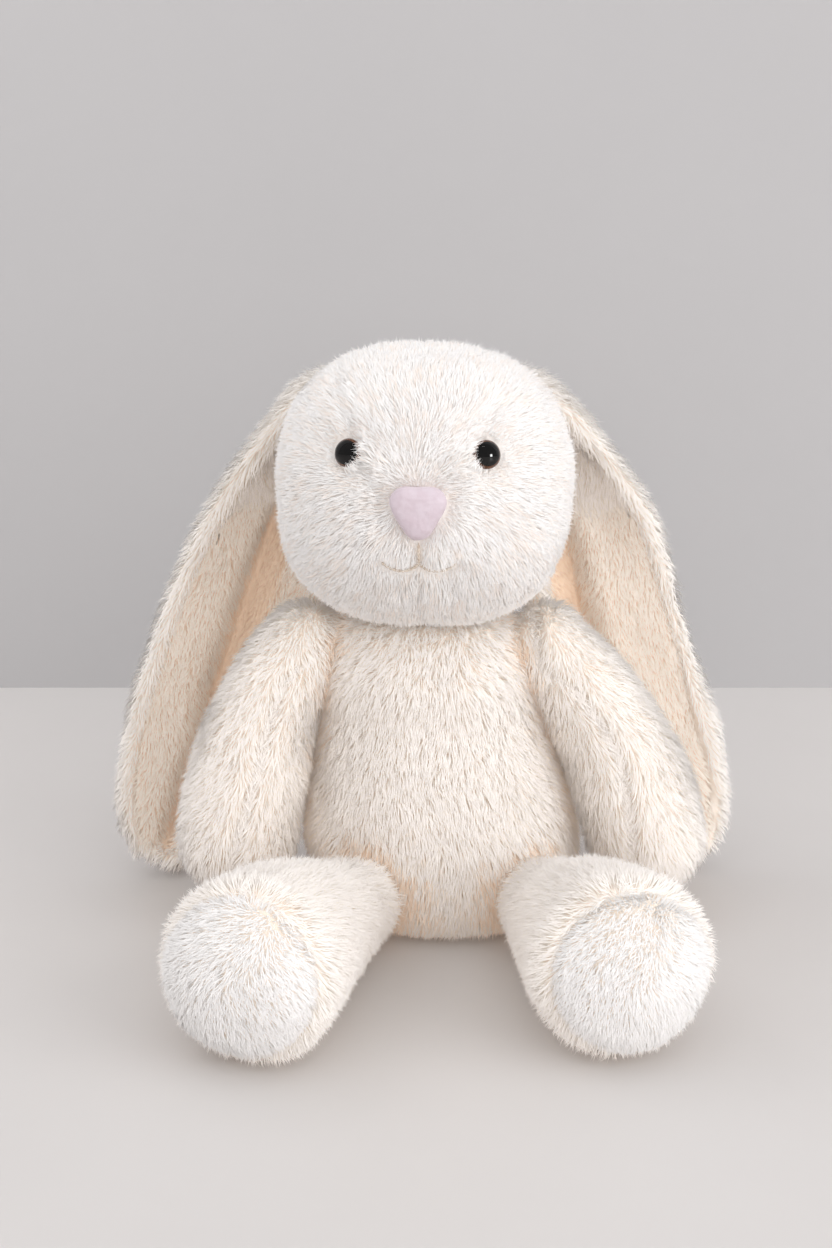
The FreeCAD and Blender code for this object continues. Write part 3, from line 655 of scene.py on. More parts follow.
class Shader:
    """A new Principled material; keyword values set its inputs, with _ for a space."""

    def __init__(self, name, **values):
        self.material = bpy.data.materials.new(name)
        self.material.use_nodes = True
        self.tree = self.material.node_tree
        self.principled = self.tree.nodes["Principled BSDF"]
        for key, value in values.items():
            self.principled.inputs[key.replace("_", " ")].default_value = value

    def add(self, kind):
        return self.tree.nodes.new(kind)

    def link(self, start, end):
        self.tree.links.new(start, end)

    def ramp(self, factor, stops):
        node = self.add("ShaderNodeValToRGB")
        elements = node.color_ramp.elements
        node.color_ramp.interpolation = "EASE"
        while len(elements) < len(stops):
            elements.new(0.5)
        for element, (position, colour) in zip(elements, stops):
            element.position = position
            element.color = colour
        self.link(factor, node.inputs["Fac"])
        return node.outputs["Color"]

    def noise(self, scale, detail, roughness):
        place = self.add("ShaderNodeTexCoord")
        node = self.add("ShaderNodeTexNoise")
        node.inputs["Scale"].default_value = scale
        node.inputs["Detail"].default_value = detail
        node.inputs["Roughness"].default_value = roughness
        self.link(place.outputs["Object"], node.inputs["Vector"])
        return node.outputs["Fac"]

    def bump(self, height, strength, distance, below=None):
        node = self.add("ShaderNodeBump")
        node.inputs["Strength"].default_value = strength
        node.inputs["Distance"].default_value = distance
        self.link(height, node.inputs["Height"])
        if below is not None:
            self.link(below, node.inputs["Normal"])
        self.link(node.outputs["Normal"], self.principled.inputs["Normal"])
        return node.outputs["Normal"]


def mottled(name, low, high, grain, bumps=(), spread=(0.3, 0.7), **values):
    """Two colours mixed by noise, under any number of noise bumps.

    grain is the noise's scale, detail and roughness; each bump is its noise's
    scale, detail and roughness, then strength and distance in metres.
    """
    shader = Shader(name, **values)
    stops = [(spread[0], srgb(*low)), (spread[1], srgb(*high))]
    colour = shader.ramp(shader.noise(*grain), stops)
    shader.link(colour, shader.principled.inputs["Base Color"])
    below = None
    for scale, detail, roughness, strength, distance in bumps:
        height = shader.noise(scale, detail, roughness)
        below = shader.bump(height, strength, distance, below)
    return shader


def strand_material(name, root, middle, tip, warm, glow, glow_strength):
    """Colour runs along each strand (v) and differs from strand to strand (u).

    The glow is painted light, standing for light scattered from fibre to fibre deep in a white
    pile.
    The root colour is warmer than the tip, partly as painted shade deep in the pile, and strands
    of low tone (u) take the warm colour, some at random and some as painted shade.
    """
    shader = Shader(name, Roughness=0.72, Sheen_Weight=0.25, Sheen_Roughness=0.5,
                    Emission_Color=(*glow, 1), Emission_Strength=glow_strength,
                    Specular_IOR_Level=0.25)
    uv = shader.add("ShaderNodeUVMap")
    uv.uv_map = "OFBake"
    split = shader.add("ShaderNodeSeparateXYZ")
    shader.link(uv.outputs["UV"], split.inputs["Vector"])
    along = shader.ramp(split.outputs["Y"],
                        [(0.0, srgb(*root)), (0.42, srgb(*middle)), (1.0, srgb(*tip))])
    white = (1, 1, 1, 1)
    tone = shader.ramp(split.outputs["X"], [(0.0, (*warm, 1)), (0.55, white), (1.0, white)])
    mix = shader.add("ShaderNodeMixRGB")
    mix.blend_type = "MULTIPLY"
    mix.inputs["Fac"].default_value = 1.0
    shader.link(along, mix.inputs["Color1"])
    shader.link(tone, mix.inputs["Color2"])
    shader.link(mix.outputs["Color"], shader.principled.inputs["Base Color"])
    return shader.material


def pile_base(name, low, high):
    """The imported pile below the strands, with a fine fibrous bump."""
    return mottled(name, low, high, grain=(90.0, 5.0, 0.6),
                   bumps=[(1500.0, 3.0, 0.7, 0.5, 0.0006), (420.0, 4.0, 0.6, 0.5, 0.0014)],
                   Roughness=0.9, Sheen_Weight=0.4, Sheen_Roughness=0.45,
                   Specular_IOR_Level=0.15).material


def thread(name, low, high):
    return mottled(name, low, high, grain=(800.0, 3.0, 0.5), spread=(0.35, 0.65),
                   bumps=[(3000.0, 2.0, 0.5, 0.4, 0.0002)],
                   Roughness=0.5, Sheen_Weight=0.3).material


def moulded(name, low, high, roughness):
    return mottled(name, low, high, grain=(300.0, 3.0, 0.5),
                   bumps=[(1400.0, 2.0, 0.55, 0.15, 0.0002)], Roughness=roughness).material


def woven(name, low, high):
    """Plain weave: the higher of two sets of bands."""
    shader = Shader(name, Roughness=0.85)
    place = shader.add("ShaderNodeTexCoord")
    higher = shader.add("ShaderNodeMath")
    higher.operation = "MAXIMUM"
    for i, axis in enumerate("XZ"):
        wave = shader.add("ShaderNodeTexWave")
        wave.bands_direction = axis
        wave.inputs["Scale"].default_value = 600.0
        wave.inputs["Distortion"].default_value = 0.6
        shader.link(place.outputs["Object"], wave.inputs["Vector"])
        shader.link(wave.outputs["Fac"], higher.inputs[i])
    height = higher.outputs["Value"]
    colour = shader.ramp(height, [(0.2, srgb(*low)), (0.9, srgb(*high))])
    shader.link(colour, shader.principled.inputs["Base Color"])
    shader.bump(height, strength=0.5, distance=0.0003)
    return shader.material


# each strand's root colour is warmer than its tip, partly as painted shade deep in the pile
CREAM = strand_material(
    "plush_cream_strands", root=(0.99, 0.935, 0.87), middle=(0.992, 0.97, 0.948),
    tip=(0.994, 0.984, 0.974), warm=(1.0, 0.79, 0.62), glow=(1.0, 0.80, 0.64),
    glow_strength=0.115)
WHITE = strand_material(
    "plush_white_strands", root=(0.985, 0.96, 0.938), middle=(0.988, 0.976, 0.968),
    tip=(0.99, 0.985, 0.985), warm=(1.0, 0.91, 0.84), glow=(1.0, 0.91, 0.83),
    glow_strength=0.06)
# the lining's colours are peachier than the cream: its own cream, plus painted shade for the ear's
# hollow
LINING = strand_material(
    "ear_lining_strands", root=(0.99, 0.90, 0.81), middle=(0.995, 0.95, 0.90),
    tip=(0.997, 0.975, 0.945), warm=(1.0, 0.83, 0.69), glow=(1.0, 0.79, 0.62),
    glow_strength=0.11)
CREAM_BASE = pile_base("plush_cream_base", (0.985, 0.92, 0.85), (0.992, 0.95, 0.905))
WHITE_BASE = pile_base("plush_white_base", (0.985, 0.955, 0.93), (0.988, 0.97, 0.955))
# peachier than the cream base: its own cream, plus painted shade for the ear's hollow
LINING_BASE = pile_base("ear_lining_base", (0.985, 0.885, 0.79), (0.99, 0.915, 0.84))


def finish_skin(name, mesh, body, material, nodes, axis, *, seed, tufts=0.6,
                squeeze=None):
    """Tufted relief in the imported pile, scaled by squeeze(points), then the finished piece."""
    points, out = places(mesh), normals(mesh)
    tuft = 4.2
    _, distance, _ = clumps(points * np.array([1.0, 1.0, 0.55]), tuft, seed)
    relief = (tufts * (0.55 - distance / tuft) + 0.35 * value_noise(points, 2.2, seed + 1)
              + 0.8 * value_noise(points, 17.0, seed + 2))
    if squeeze is not None:
        relief = relief * squeeze(points)
    points = points + out * relief[:, None]
    points[:, 2] = np.maximum(points[:, 2], 0.25)
    set_places(mesh, points)
    cylinder_uv(mesh, points, axis)
    mesh.name = name
    shade_smooth(mesh)
    return add_piece(name, mesh, body, material, nodes)


# ------------------------------------------------------------------ torso
TORSO_NODES = ["body_front_panel", "body_back_left_panel", "body_back_right_panel",
               "seat_panel", "body_stuffing", "neck_seam_thread",
               "left_shoulder_seam_thread", "right_shoulder_seam_thread",
               "left_hip_seam_thread", "right_hip_seam_thread", "back_closing_stitches"]


def build_torso(mesh):
    points, out = places(mesh), normals(mesh)
    side_seam = bell(points[:, 1] - 6.0, 1.8) * (points[:, 2] > 8) * 1.3
    points = points - out * side_seam[:, None]
    # the seat is pressed flat on the floor
    z = points[:, 2]
    points[:, 2] = np.where(z < 3.0, np.maximum(z * 0.3, 0.3), z)
    set_places(mesh, points)
    skin = finish_skin("torso_plush", mesh, "torso", CREAM_BASE, TORSO_NODES,
                       ((LEAN_LOW, 0, 0), NECK), seed=5)
    # no pile within this distance of each joint
    bare = [(line[0][:3], 11.5) for line in ARMS.values()]
    bare += [(line[0][:3], 15.0) for line in LEGS.values()] + [(NECK, 12.0)]

    def keep(points, out):
        kept = points[:, 2] > 1.2
        for centre, radius in bare:
            kept &= np.linalg.norm(points - centre, axis=1) > radius
        return kept & ~((points[:, 2] < 3) & (out[:, 2] < -0.8))

    # painted shade: warmer, darker strands where the arms and legs press on the torso, and towards
    # the floor
    def shade(points):
        low = np.clip(1 - points[:, 2] / 55.0, 0, 1)
        return 0.50 - 1.05 * contact_shade(points, [*ARMS.values(), *LEGS.values()]) - 0.35 * low

    strands("torso_pile", "torso", skin, 2.1 * PILE,
            length=lambda points: 7.6 - 1.5 * (points[:, 2] < 8),
            nap=lambda points, out: tangent(DOWN, out),
            keep=keep, seed=101, material=CREAM, clump=5.0, shade=shade)
    return skin


# ------------------------------------------------------------------ head
HEAD_NODES = ["face_left_panel", "face_right_panel", "forehead_gusset",
              "head_back_left_panel", "head_back_right_panel", "head_stuffing",
              "left_ear_seam_thread", "right_ear_seam_thread"]
# raised pairs on the face: height, |x|, width in x, z, width in z
FACE_MOUNDS = [(2.2, 36, 17, -24, 17), (1.3, 24, 12, 35, 9)]


def line_distance(x, z, line):
    nearest = np.full(len(x), 1e9)
    for (x0, z0), (x1, z1) in zip(line, line[1:]):
        t = ((x - x0) * (x1 - x0) + (z - z0) * (z1 - z0)) / ((x1 - x0) ** 2 + (z1 - z0) ** 2)
        t = np.clip(t, 0, 1)
        distance = np.hypot(x - x0 - t * (x1 - x0), z - z0 - t * (z1 - z0))
        nearest = np.minimum(nearest, distance)
    return nearest


def mouth_distance(local):
    distance = np.min([line_distance(local[:, 0], local[:, 2], line) for line in MOUTH], axis=0)
    return np.where(local[:, 1] < -25, distance, 99.0)


def nose_ratio(local, grow):
    """Below 1 inside the nose's outline, grown by grow mm."""
    x = (local[:, 0] - NOSE[0]) / (10.8 + grow)
    z = (local[:, 2] - NOSE[2]) / (10.2 + grow)
    edge = 0.93 + 0.13 * np.cos(3 * (np.arctan2(z, x) + math.pi / 2))
    return np.where(local[:, 1] < -30, np.hypot(x, z) / edge, 9.0)


def from_eye(local, eye_x):
    """Distance from an eye's centre seen from the front, then its parts inward and upward."""
    dx, dz = local[:, 0] - eye_x, local[:, 2] - EYE_Z
    return np.hypot(dx, dz), -dx * np.sign(eye_x), dz


def sculpt_head(local, out):
    x, y, z = local.T
    front = smooth_step(-y - 8, 0, 22)
    shaped = local.copy()
    # muzzle, then the raised pairs, then unevenness over the muzzle
    shaped[:, 1] -= 4.6 * mound(x, 25, z + 12, 17) * front
    for height, at_x, width_x, at_z, width_z in FACE_MOUNDS:
        rise = height * mound(np.abs(x) - at_x, width_x, z - at_z, width_z) * front
        shaped += out * rise[:, None]
    uneven = 1.3 * value_noise(local, 8.0, 31) * mound(x, 26, z + 14, 19) * front
    shaped += out * uneven[:, None]
    # sockets, and a small mound at the inner lower edge of each eye
    for eye_x in EYE_XS:
        r, inward, up = from_eye(local, eye_x)
        inner = np.clip(inward / np.maximum(r, 1e-6), 0, 1)
        shaped -= out * (3.4 * bell(r, 8.0) * front * (1 - 0.6 * inner))[:, None]
        near = np.exp(-((8.6 - inward) ** 2 + (up + 4.2) ** 2) / 4.6 ** 2)
        shaped += out * (3.0 * near * front)[:, None]
    # seams: gusset edges, centre of the chin, side to side over the head; then the mouth
    gusset = line_distance(np.abs(x), z, GUSSET)
    for groove in (1.2 * bell(gusset, 2.4) * front,
                   1.0 * bell(x, 1.8) * (z < -25) * (y < 8),
                   1.0 * bell(y - 8, 1.8),
                   0.7 * bell(mouth_distance(local), 2.6),
                   1.6 * np.clip(1.25 - nose_ratio(local, 1.0), 0, 0.5) * 2):    # nose bed
        shaped -= out * groove[:, None]
    return shaped


def head_squeeze(points):
    """Less relief round the nose and the mouth."""
    local = into_head(points)
    return (np.clip(nose_ratio(local, 0) - 0.9, 0, 1)
            * np.clip(mouth_distance(local) / 3, 0.1, 1))


def head_keep(points, out):
    """Bare at the eyes, the nose, the mouth and the neck."""
    local = into_head(points)
    kept = np.ones(len(points), bool)
    for eye_x in EYE_XS:
        r, inward, _ = from_eye(local, eye_x)
        kept &= ~((r < np.where(inward > 0.55 * r, 5.3, 5.8)) & (local[:, 1] < 0))
    kept &= nose_ratio(local, 0.0) > 0.97
    kept &= mouth_distance(local) > 1.25
    return kept & (np.linalg.norm(points - NECK, axis=1) > 12.5)


def head_length(points):
    local = into_head(points)
    x, y, z = local.T
    # longer on the muzzle and the back, shorter at the eyes, the mouth and the nose
    length = 5.6 + 1.2 * np.clip(-y / 40, 0, 1) * mound(x, 24, z + 14, 18)
    length = length + 0.9 * (y > 0)
    for eye_x in EYE_XS:
        r, inward, _ = from_eye(local, eye_x)
        inner = np.clip(inward / np.maximum(r, 1e-6), 0, 1) * (r < 10)
        short = np.clip(0.42 + 0.058 * (r - 5.5), 0.42, 1)
        length = np.where(y < 0, length * (short + (0.98 - short) * inner ** 2), length)
    length = length * np.clip(0.30 + 0.13 * (mouth_distance(local) - 1.0), 0.30, 1)
    return length * np.clip(0.55 + 1.6 * (nose_ratio(local, 0.0) - 1.0), 0.55, 1)


def head_nap(points, out):
    """Away from the nose in front, down behind."""
    local = into_head(points)
    away = unit(local - (NOSE + np.array([0, 6.0, 2.0]))) + np.array([0.0, 0.0, -0.35])
    behind = (local[:, 1] > 5)[:, None]
    return tangent(turn_with_head(np.where(behind, np.array([0.0, 0.25, -1.0]), away)), out)


def brow_keep(points, out):
    """A patch at the inner, slightly lower edge of each eye."""
    local = into_head(points)
    kept = np.zeros(len(points), bool)
    for eye_x in EYE_XS:
        r, inward, up = from_eye(local, eye_x)
        toward = (inward * 0.90 - up * 0.44) / np.maximum(r, 1e-6)
        kept |= (r > 4.6) & (r < 8.8) & (toward > 0.50) & (local[:, 1] < 0)
    return kept


def brow_nap(points, out):
    """Towards a place just above the middle of the eye."""
    local = into_head(points)
    eye_x = np.where(local[:, 0] < 0, *EYE_XS)
    toward = np.stack([eye_x - local[:, 0], np.zeros(len(points)), 20.5 - local[:, 2]], 1)
    return tangent(turn_with_head(unit(toward)), out)


def build_head(mesh):
    set_places(mesh, from_head(sculpt_head(places(mesh) * HEAD_STRETCH, normals(mesh))))
    skin = finish_skin("head_plush", mesh, "head", WHITE_BASE, HEAD_NODES,
                       (HEAD_CENTRE - (0, 0, 60), HEAD_CENTRE + (0, 0, 60)), seed=15,
                       squeeze=head_squeeze)
    strands("head_pile", "head", skin, 2.5 * PILE, head_length, head_nap, keep=head_keep,
            angles=(45, 72), width=0.18, clump=4.6, gather=0.34, seed=201, material=WHITE,
            messy=0.20, floor=None)
    # the pile beside the nose bridge hangs over the inner edge of each eye
    strands("brow_pile", "head", skin, 3.6, 7.4, brow_nap, keep=brow_keep, angles=(26, 60),
            width=0.18, clump=3.0, gather=0.3, seed=231, material=WHITE,
            messy=0.3, floor=None, strays=0.0)
    return skin


# ------------------------------------------------------------------ arms
def outward(direction, reference, sign):
    """The direction across a limb that points away from the middle of the body."""
    across = unit(np.cross(direction, reference))
    return across if across[0] * sign > 0 else -across


def build_arm(side, sign, mesh):
    line, seam = ARMS[side], ARM_SEAM[side]
    shoulder, paw = line[0][:3], line[-1][:3]
    along = unit(paw - shoulder)
    across = outward(along, (0, 1, 0), sign)

    def from_seam(points):
        """Distance from the front seam, positive towards +x; large behind the arm."""
        z = points[:, 2]
        axis_y = np.interp(z, line[::-1, 2], line[::-1, 1])
        distance = (points[:, 0] - np.interp(z, seam[::-1, 1], seam[::-1, 0])) * 0.9
        return np.where(points[:, 1] < axis_y, distance, 60.0)

    def nap(points, out):
        # the pile of the outer panel falls over the seam, tuft by tuft
        w = from_seam(points) * sign
        part = (-bell(w - 2.5, 5.0) * (0.55 + 0.5 * value_noise(points, 6.0, 77))
                + 0.25 * bell(w + 3.0, 4.0))
        return tangent(along + np.array([0, 0, -0.2]) + across * part[:, None], out)

    def length(points):
        w = np.abs(from_seam(points))
        return 7.3 * np.clip(0.80 + 0.09 * w, 0.80, 1) + 1.2 * bell(w - 3.5, 2.5)

    # painted shade: warmer, darker strands where the arm presses on the legs and torso, and
    # towards the floor
    def shade(points):
        low = np.clip(1 - points[:, 2] / 40.0, 0, 1)
        return 0.50 - 0.95 * contact_shade(points, LEGS.values(), torso=True) - 0.25 * low

    points = places(mesh)
    groove = bell(from_seam(points), 2.3) * 2.8
    set_places(mesh, points - normals(mesh) * groove[:, None])
    skin = finish_skin(side + "_arm_plush", mesh, side + "_arm", CREAM_BASE,
                       [side + "_arm_inner_panel", side + "_arm_outer_panel",
                        side + "_arm_stuffing"], (shoulder, paw), seed=25 + sign)
    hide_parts(side + "_shoulder_bundle")
    strands(side + "_arm_pile", side + "_arm", skin, 1.75 * PILE, length, nap,
            seed=301 + sign, material=CREAM, clump=5.2, shade=shade)


# ------------------------------------------------------------------ legs
def build_leg(side, sign, mesh):
    line = LEGS[side]
    hip, foot = line[0][:3], line[-1][:3]
    along = unit(foot - line[-2][:3])
    across = outward(unit(foot - hip), (0, 0, 1), sign)

    def nap(points, out):
        """Down and back along the leg, swirling on the sole."""
        h = (points - foot) @ along
        radial = unit(points - foot - h[:, None] * along)
        on_sole = np.clip((h - 7.0) / 4.0, 0, 1)[:, None]
        fall = np.array([0, 0, -0.8])
        swirl = radial * 0.35 + np.cross(along, radial) * 0.35 + fall
        return tangent((fall - along * 0.7) * (1 - on_sole) + swirl * on_sole, out)

    def length(points):
        h = np.abs((points - foot) @ along - SOLE_SEAM)
        return 7.4 * np.clip(0.78 + 0.07 * h, 0.78, 1)

    def off_floor(points, out):
        return (points[:, 2] > 1.5) | (out[:, 2] > -0.6)

    def leg_keep(points, out):
        return off_floor(points, out) & ((points - foot) @ along < SOLE_SEAM)

    def sole_keep(points, out):
        return off_floor(points, out) & ((points - foot) @ along >= SOLE_SEAM)

    # painted shade: warmer, darker strands where the leg presses on the arms and torso, and near
    # the floor
    def shade(points):
        low = np.exp(-points[:, 2] / 9.0)
        return 0.50 - 0.95 * contact_shade(points, ARMS.values(), torso=True) - 0.5 * low

    # grooves: round the sole, and along the upper and lower middle of the leg
    points, out = places(mesh), normals(mesh)
    h = (points - foot) @ along
    points = points - out * (bell(h - SOLE_SEAM, 1.9) * 1.2)[:, None]
    w = (points - line[1][:3]) @ across
    points = points - out * (bell(w, 1.7) * 1.0 * (h < SOLE_SEAM))[:, None]
    set_places(mesh, points)
    skin = finish_skin(side + "_leg_plush", mesh, side + "_leg", CREAM_BASE,
                       [side + "_leg_inner_panel", side + "_leg_outer_panel",
                        side + "_foot_sole_panel", side + "_leg_stuffing"],
                       (hip, foot), seed=35 + sign)
    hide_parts(side + "_hip_bundle")
    strands(side + "_leg_pile", side + "_leg", skin, 1.8 * PILE, length, nap, keep=leg_keep,
            seed=401 + sign, material=CREAM, clump=5.0, angles=(40, 66), messy=0.26,
            shade=shade)
    # the sole's pile gets painted shade near the floor
    strands(side + "_sole_pile", side + "_leg", skin, 2.3 * PILE,
            length=lambda points: length(points) * 0.72, nap=nap, keep=sole_keep,
            seed=421 + sign, material=WHITE, clump=4.4, angles=(43, 70),
            messy=0.30, width=0.2,
            shade=lambda points: 0.45 - 0.8 * np.exp(-points[:, 2] / 10.0))


# ------------------------------------------------------------------ ears
# Throughout, s is the place down the ear, 0 at the root and 1 at the tip, and q the
# place across it, -1 beside the head and 1 at the outer rim.
def ear_rows(offset, sign, n=61, m=49, outer_trim=0.0, inner_trim=0.0, low=0.0, high=1.0):
    """n rows of m points of an ear surface, placed with the head.

    offset(s, q, half) is the distance towards the back of the ear, where half is the
    half width along the curl; the trims narrow the edges, in mm.
    """
    table = []
    for i, (x, y, z, half_width, turn, curl, left_in) in enumerate(EAR):
        x = x + (left_in if sign > 0 else 0.0)
        table.append((i / (len(EAR) - 1.0), (x, y, z, half_width, turn, curl)))
    rows = []
    for i in range(n):
        s = low + (high - low) * i / (n - 1.0)
        row = spline(table, s)
        t = unit(spline(table, min(1, s + 0.01))[:3] - spline(table, max(0, s - 0.01))[:3])
        turn = math.radians(row[4] - EAR_UNTWIST[sign] * float(np.clip(s / 0.35, 0, 1)))
        w = np.array([-math.cos(turn), -math.sin(turn), 0.0])
        w = unit(w - t * w.dot(t))
        back = unit(np.cross(w, t))
        if back[1] < 0:
            back = -back
        curl = math.radians(row[5])
        radius = row[3] / math.sin(curl)
        half = radius * curl
        q = np.linspace(-1 + min(0.8, inner_trim / half), 1 - min(0.8, outer_trim / half), m)
        a = curl * q[:, None]
        depth = radius * (np.cos(a) - 1) + radius * (1 - math.cos(curl)) * 0.5
        p = row[:3] + w * (radius * np.sin(a)) + back * depth
        out = w * np.sin(a) + back * np.cos(a)
        p = p + out * np.asarray(offset(s, q, half)).reshape(-1, 1)
        # the untwisting leaves the outer rim in place, but for the inset
        inward, up = spline(EAR_INSET, s)
        p[:, 0] += row[3] * (math.cos(turn) - math.cos(math.radians(row[4]))) + inward
        p[:, 2] += up
        p[:, 1] += sign * 0.075 * np.clip((40.0 - p[:, 2]) / 60.0, 0, 1) * np.abs(p[:, 0])
        if sign > 0:
            p[:, 0] *= -1
        rows.append(p)
    return from_head(np.array(rows))


def crease(s, q, sign):
    """How far the ear is folded back along its length, which makes a deep hollow."""
    strength = smooth_step(s, 0.22, 0.36) * (1 - smooth_step(s, 0.82, 0.97))
    fold = EAR_FOLD[sign]
    return (9.5 * bell(q - fold, 0.19) + 2.0 * smooth_step(-q, -0.2 - fold, 0.4 - fold)
            - 7.0 * smooth_step(-q, min(0.9, 0.4 - fold), 1.05)) * strength


def roll(d, r):
    """Half thickness d mm from an edge rolled to radius r; full beyond its middle."""
    return r * np.sqrt(np.clip(1 - (1 - np.minimum(d, r) / r) ** 2, 0, 1))


def rim_roll(d, r):
    """The same roll, falling away again beyond its middle."""
    fall = r * np.sqrt(np.clip(1 - ((d - r) / (r * 0.8)) ** 2, 0, 1))
    return np.where(d < r, roll(d, r), fall)


def ear_end(s):
    """Rounds the thickness off at the root and the tip."""
    return math.sqrt(max(0.0, 1 - abs(2 * s - 1) ** 12))


def ear_back(s, q, half, sign):
    d = np.minimum(roll((1 - q) * half, OUTER_ROLL), roll((1 + q) * half, INNER_ROLL) + 0.6)
    return crease(s, q, sign) + np.minimum(d, 4.6) * ear_end(s)


def ear_front(s, q, half, sign):
    outer, inner = (1 - q) * half, (1 + q) * half
    shut = np.minimum(roll(outer, OUTER_ROLL), roll(inner, INNER_ROLL))
    rim = np.maximum(rim_roll(outer, OUTER_ROLL), rim_roll(inner, INNER_ROLL))
    rim = rim - 0.8 * (rim < 0.05)
    opened = smooth_step(s, *EAR_OPEN) * (1 - smooth_step(s, 0.925, 0.965))
    return crease(s, q, sign) - (shut * (1 - opened) + rim * opened) * ear_end(s)


def lining_front(s, q, sign):
    across = 2 * (q - q.min()) / (q.max() - q.min()) - 1
    thickness = np.sqrt(np.clip(1 - np.abs(across) ** 6, 0, 1))
    return crease(s, q, sign) - 0.1 - 2.3 * thickness


def sheet(name, one, other):
    """A closed, once subdivided mesh between two grids of points."""
    n, m = one.shape[:2]
    count = n * m
    index = np.arange(count).reshape(n, m)
    quads = grid_quads(index)

    def strip(edge):
        return np.stack([edge[:-1], edge[:-1] + count, edge[1:] + count, edge[1:]], -1)

    faces = np.concatenate([quads, quads[:, ::-1] + count, strip(index[0, :]),
                            strip(index[-1, ::-1]), strip(index[::-1, 0]),
                            strip(index[:, -1])])
    points = np.concatenate([one.reshape(-1, 3), other.reshape(-1, 3)])
    mesh = new_mesh(name, points, faces)
    bm = bmesh.new()
    bm.from_mesh(mesh)
    bmesh.ops.recalc_face_normals(bm, faces=bm.faces)
    bm.to_mesh(mesh)
    bm.free()
    return subdivide(new_object(name + "_tmp", mesh), 1)


def ear_finder(sign):
    """A function that gives s and q for points near an ear."""
    down, across = 121, 61
    flat_rows = ear_rows(lambda s, q, half: 0.0, sign, n=down, m=across).reshape(-1, 3)
    tree = KDTree(len(flat_rows))
    for i, p in enumerate(flat_rows):
        tree.insert(p, i)
    tree.balance()

    def find(points):
        k = np.array([tree.find(p)[1] for p in points])
        return (k // across) / (down - 1.0), (k % across) / ((across - 1) / 2.0) - 1.0
    return find


def build_ear(side, sign):
    find = ear_finder(sign)
    axis = (np.array([sign * 40.0, 15, 225]), np.array([sign * 112.0, 30, 8]))
    forward = unit(np.array([-sign * 0.2, -1.0, 0.0]))

    def nap(points, out):
        return tangent(np.array([sign * 0.38, 0.05, -1.0]), out)

    def keep(points, out):
        # where the sheet lies under the lining it carries no pile
        s, q = find(points)
        hidden = ((out @ forward) > 0.1) & (q < 0.84) & (q > -0.84) & (s > 0.33) & (s < 0.94)
        return ~hidden

    def length(points):
        s, q = find(points)
        return 6.9 - 3.0 * smooth_step(-q, -0.96, -0.84) * smooth_step(q, 0.3, 0.6) * (s > 0.3)

    # painted shade: the lining warmer and darker in the hollow at the fold and over the strip
    # beside the head
    def lining_shade(points):
        _, q = find(points)
        fold = EAR_FOLD[sign]
        return 0.60 - 1.5 * bell(q - fold + 0.08, 0.24) - 0.45 * (q < fold - 0.1)

    mesh = sheet("ear", ear_rows(lambda s, q, half: ear_back(s, q, half, sign), sign, n=77),
                 ear_rows(lambda s, q, half: ear_front(s, q, half, sign), sign, n=77))
    points = places(mesh)
    uneven = 1.1 * value_noise(points * np.array([1, 1, 0.6]), 20.0, 61 + sign)
    set_places(mesh, points + normals(mesh) * uneven[:, None])
    ear = finish_skin(side + "_ear_plush", mesh, side + "_ear", CREAM_BASE,
                      [side + "_ear_outer_panel", side + "_ear_root_bundle"], axis,
                      tufts=0.7, seed=45 + sign)

    trims = dict(n=61, m=41, outer_trim=OUTER_ROLL * 1.15, inner_trim=INNER_ROLL * 1.2,
                 low=0.27, high=0.955)
    mesh = sheet("lining",
                 ear_rows(lambda s, q, half: lining_front(s, q, sign), sign, **trims),
                 ear_rows(lambda s, q, half: crease(s, q, sign) + 0.5, sign, **trims))
    lining = finish_skin(side + "_ear_lining_plush", mesh, side + "_ear", LINING_BASE,
                         [side + "_ear_lining_panel"], axis,
                         tufts=0.35, seed=55 + sign)

    # the outer pile gets painted shade where the ear lies near an arm
    strands(side + "_ear_pile", side + "_ear", ear, 1.6 * PILE, length, nap, keep=keep,
            seed=501 + sign, material=CREAM, clump=5.2, angles=(42, 68),
            shade=lambda points: 0.45 - 0.8 * contact_shade(points, ARMS.values()))
    strands(side + "_ear_lining_pile", side + "_ear", lining, 2.2 * PILE, 4.6, nap,
            keep=lambda points, out: (out @ forward) > -0.25, seed=551 + sign,
            material=LINING, clump=4.0, width=0.2, angles=(38, 66),
            shade=lining_shade, messy=0.22)


# ------------------------------------------------------------------ tail
def build_tail():
    form = new_mesh("tail_tmp", *ball_form(TAIL_CENTRE, TAIL_RADIUS))
    mesh = subdivide(new_object("tail_tmp", form), 2)
    skin = finish_skin("tail_plush", mesh, "torso", WHITE_BASE,
                       ["tail_cover", "tail_stuffing"],
                       (TAIL_CENTRE - (0, 0, 20), TAIL_CENTRE + (0, 0, 20)), seed=75)
    strands("tail_pile", "torso", skin, 1.4 * PILE, 7.5,
            nap=lambda points, out: tangent(np.array([0, 0.6, -0.6]), out),
            seed=601, material=WHITE, angles=(16, 45), messy=0.6)


# ------------------------------------------------------------------ nose
# place through the pad's depth, front being 1, and size of the outline there
NOSE_SECTIONS = [(-0.45, 0.90), (-0.2, 0.965), (0.0, 0.99), (0.2, 1.0), (0.4, 0.985),
                 (0.58, 0.945), (0.73, 0.87), (0.85, 0.755), (0.93, 0.60), (0.975, 0.42),
                 (0.995, 0.2)]


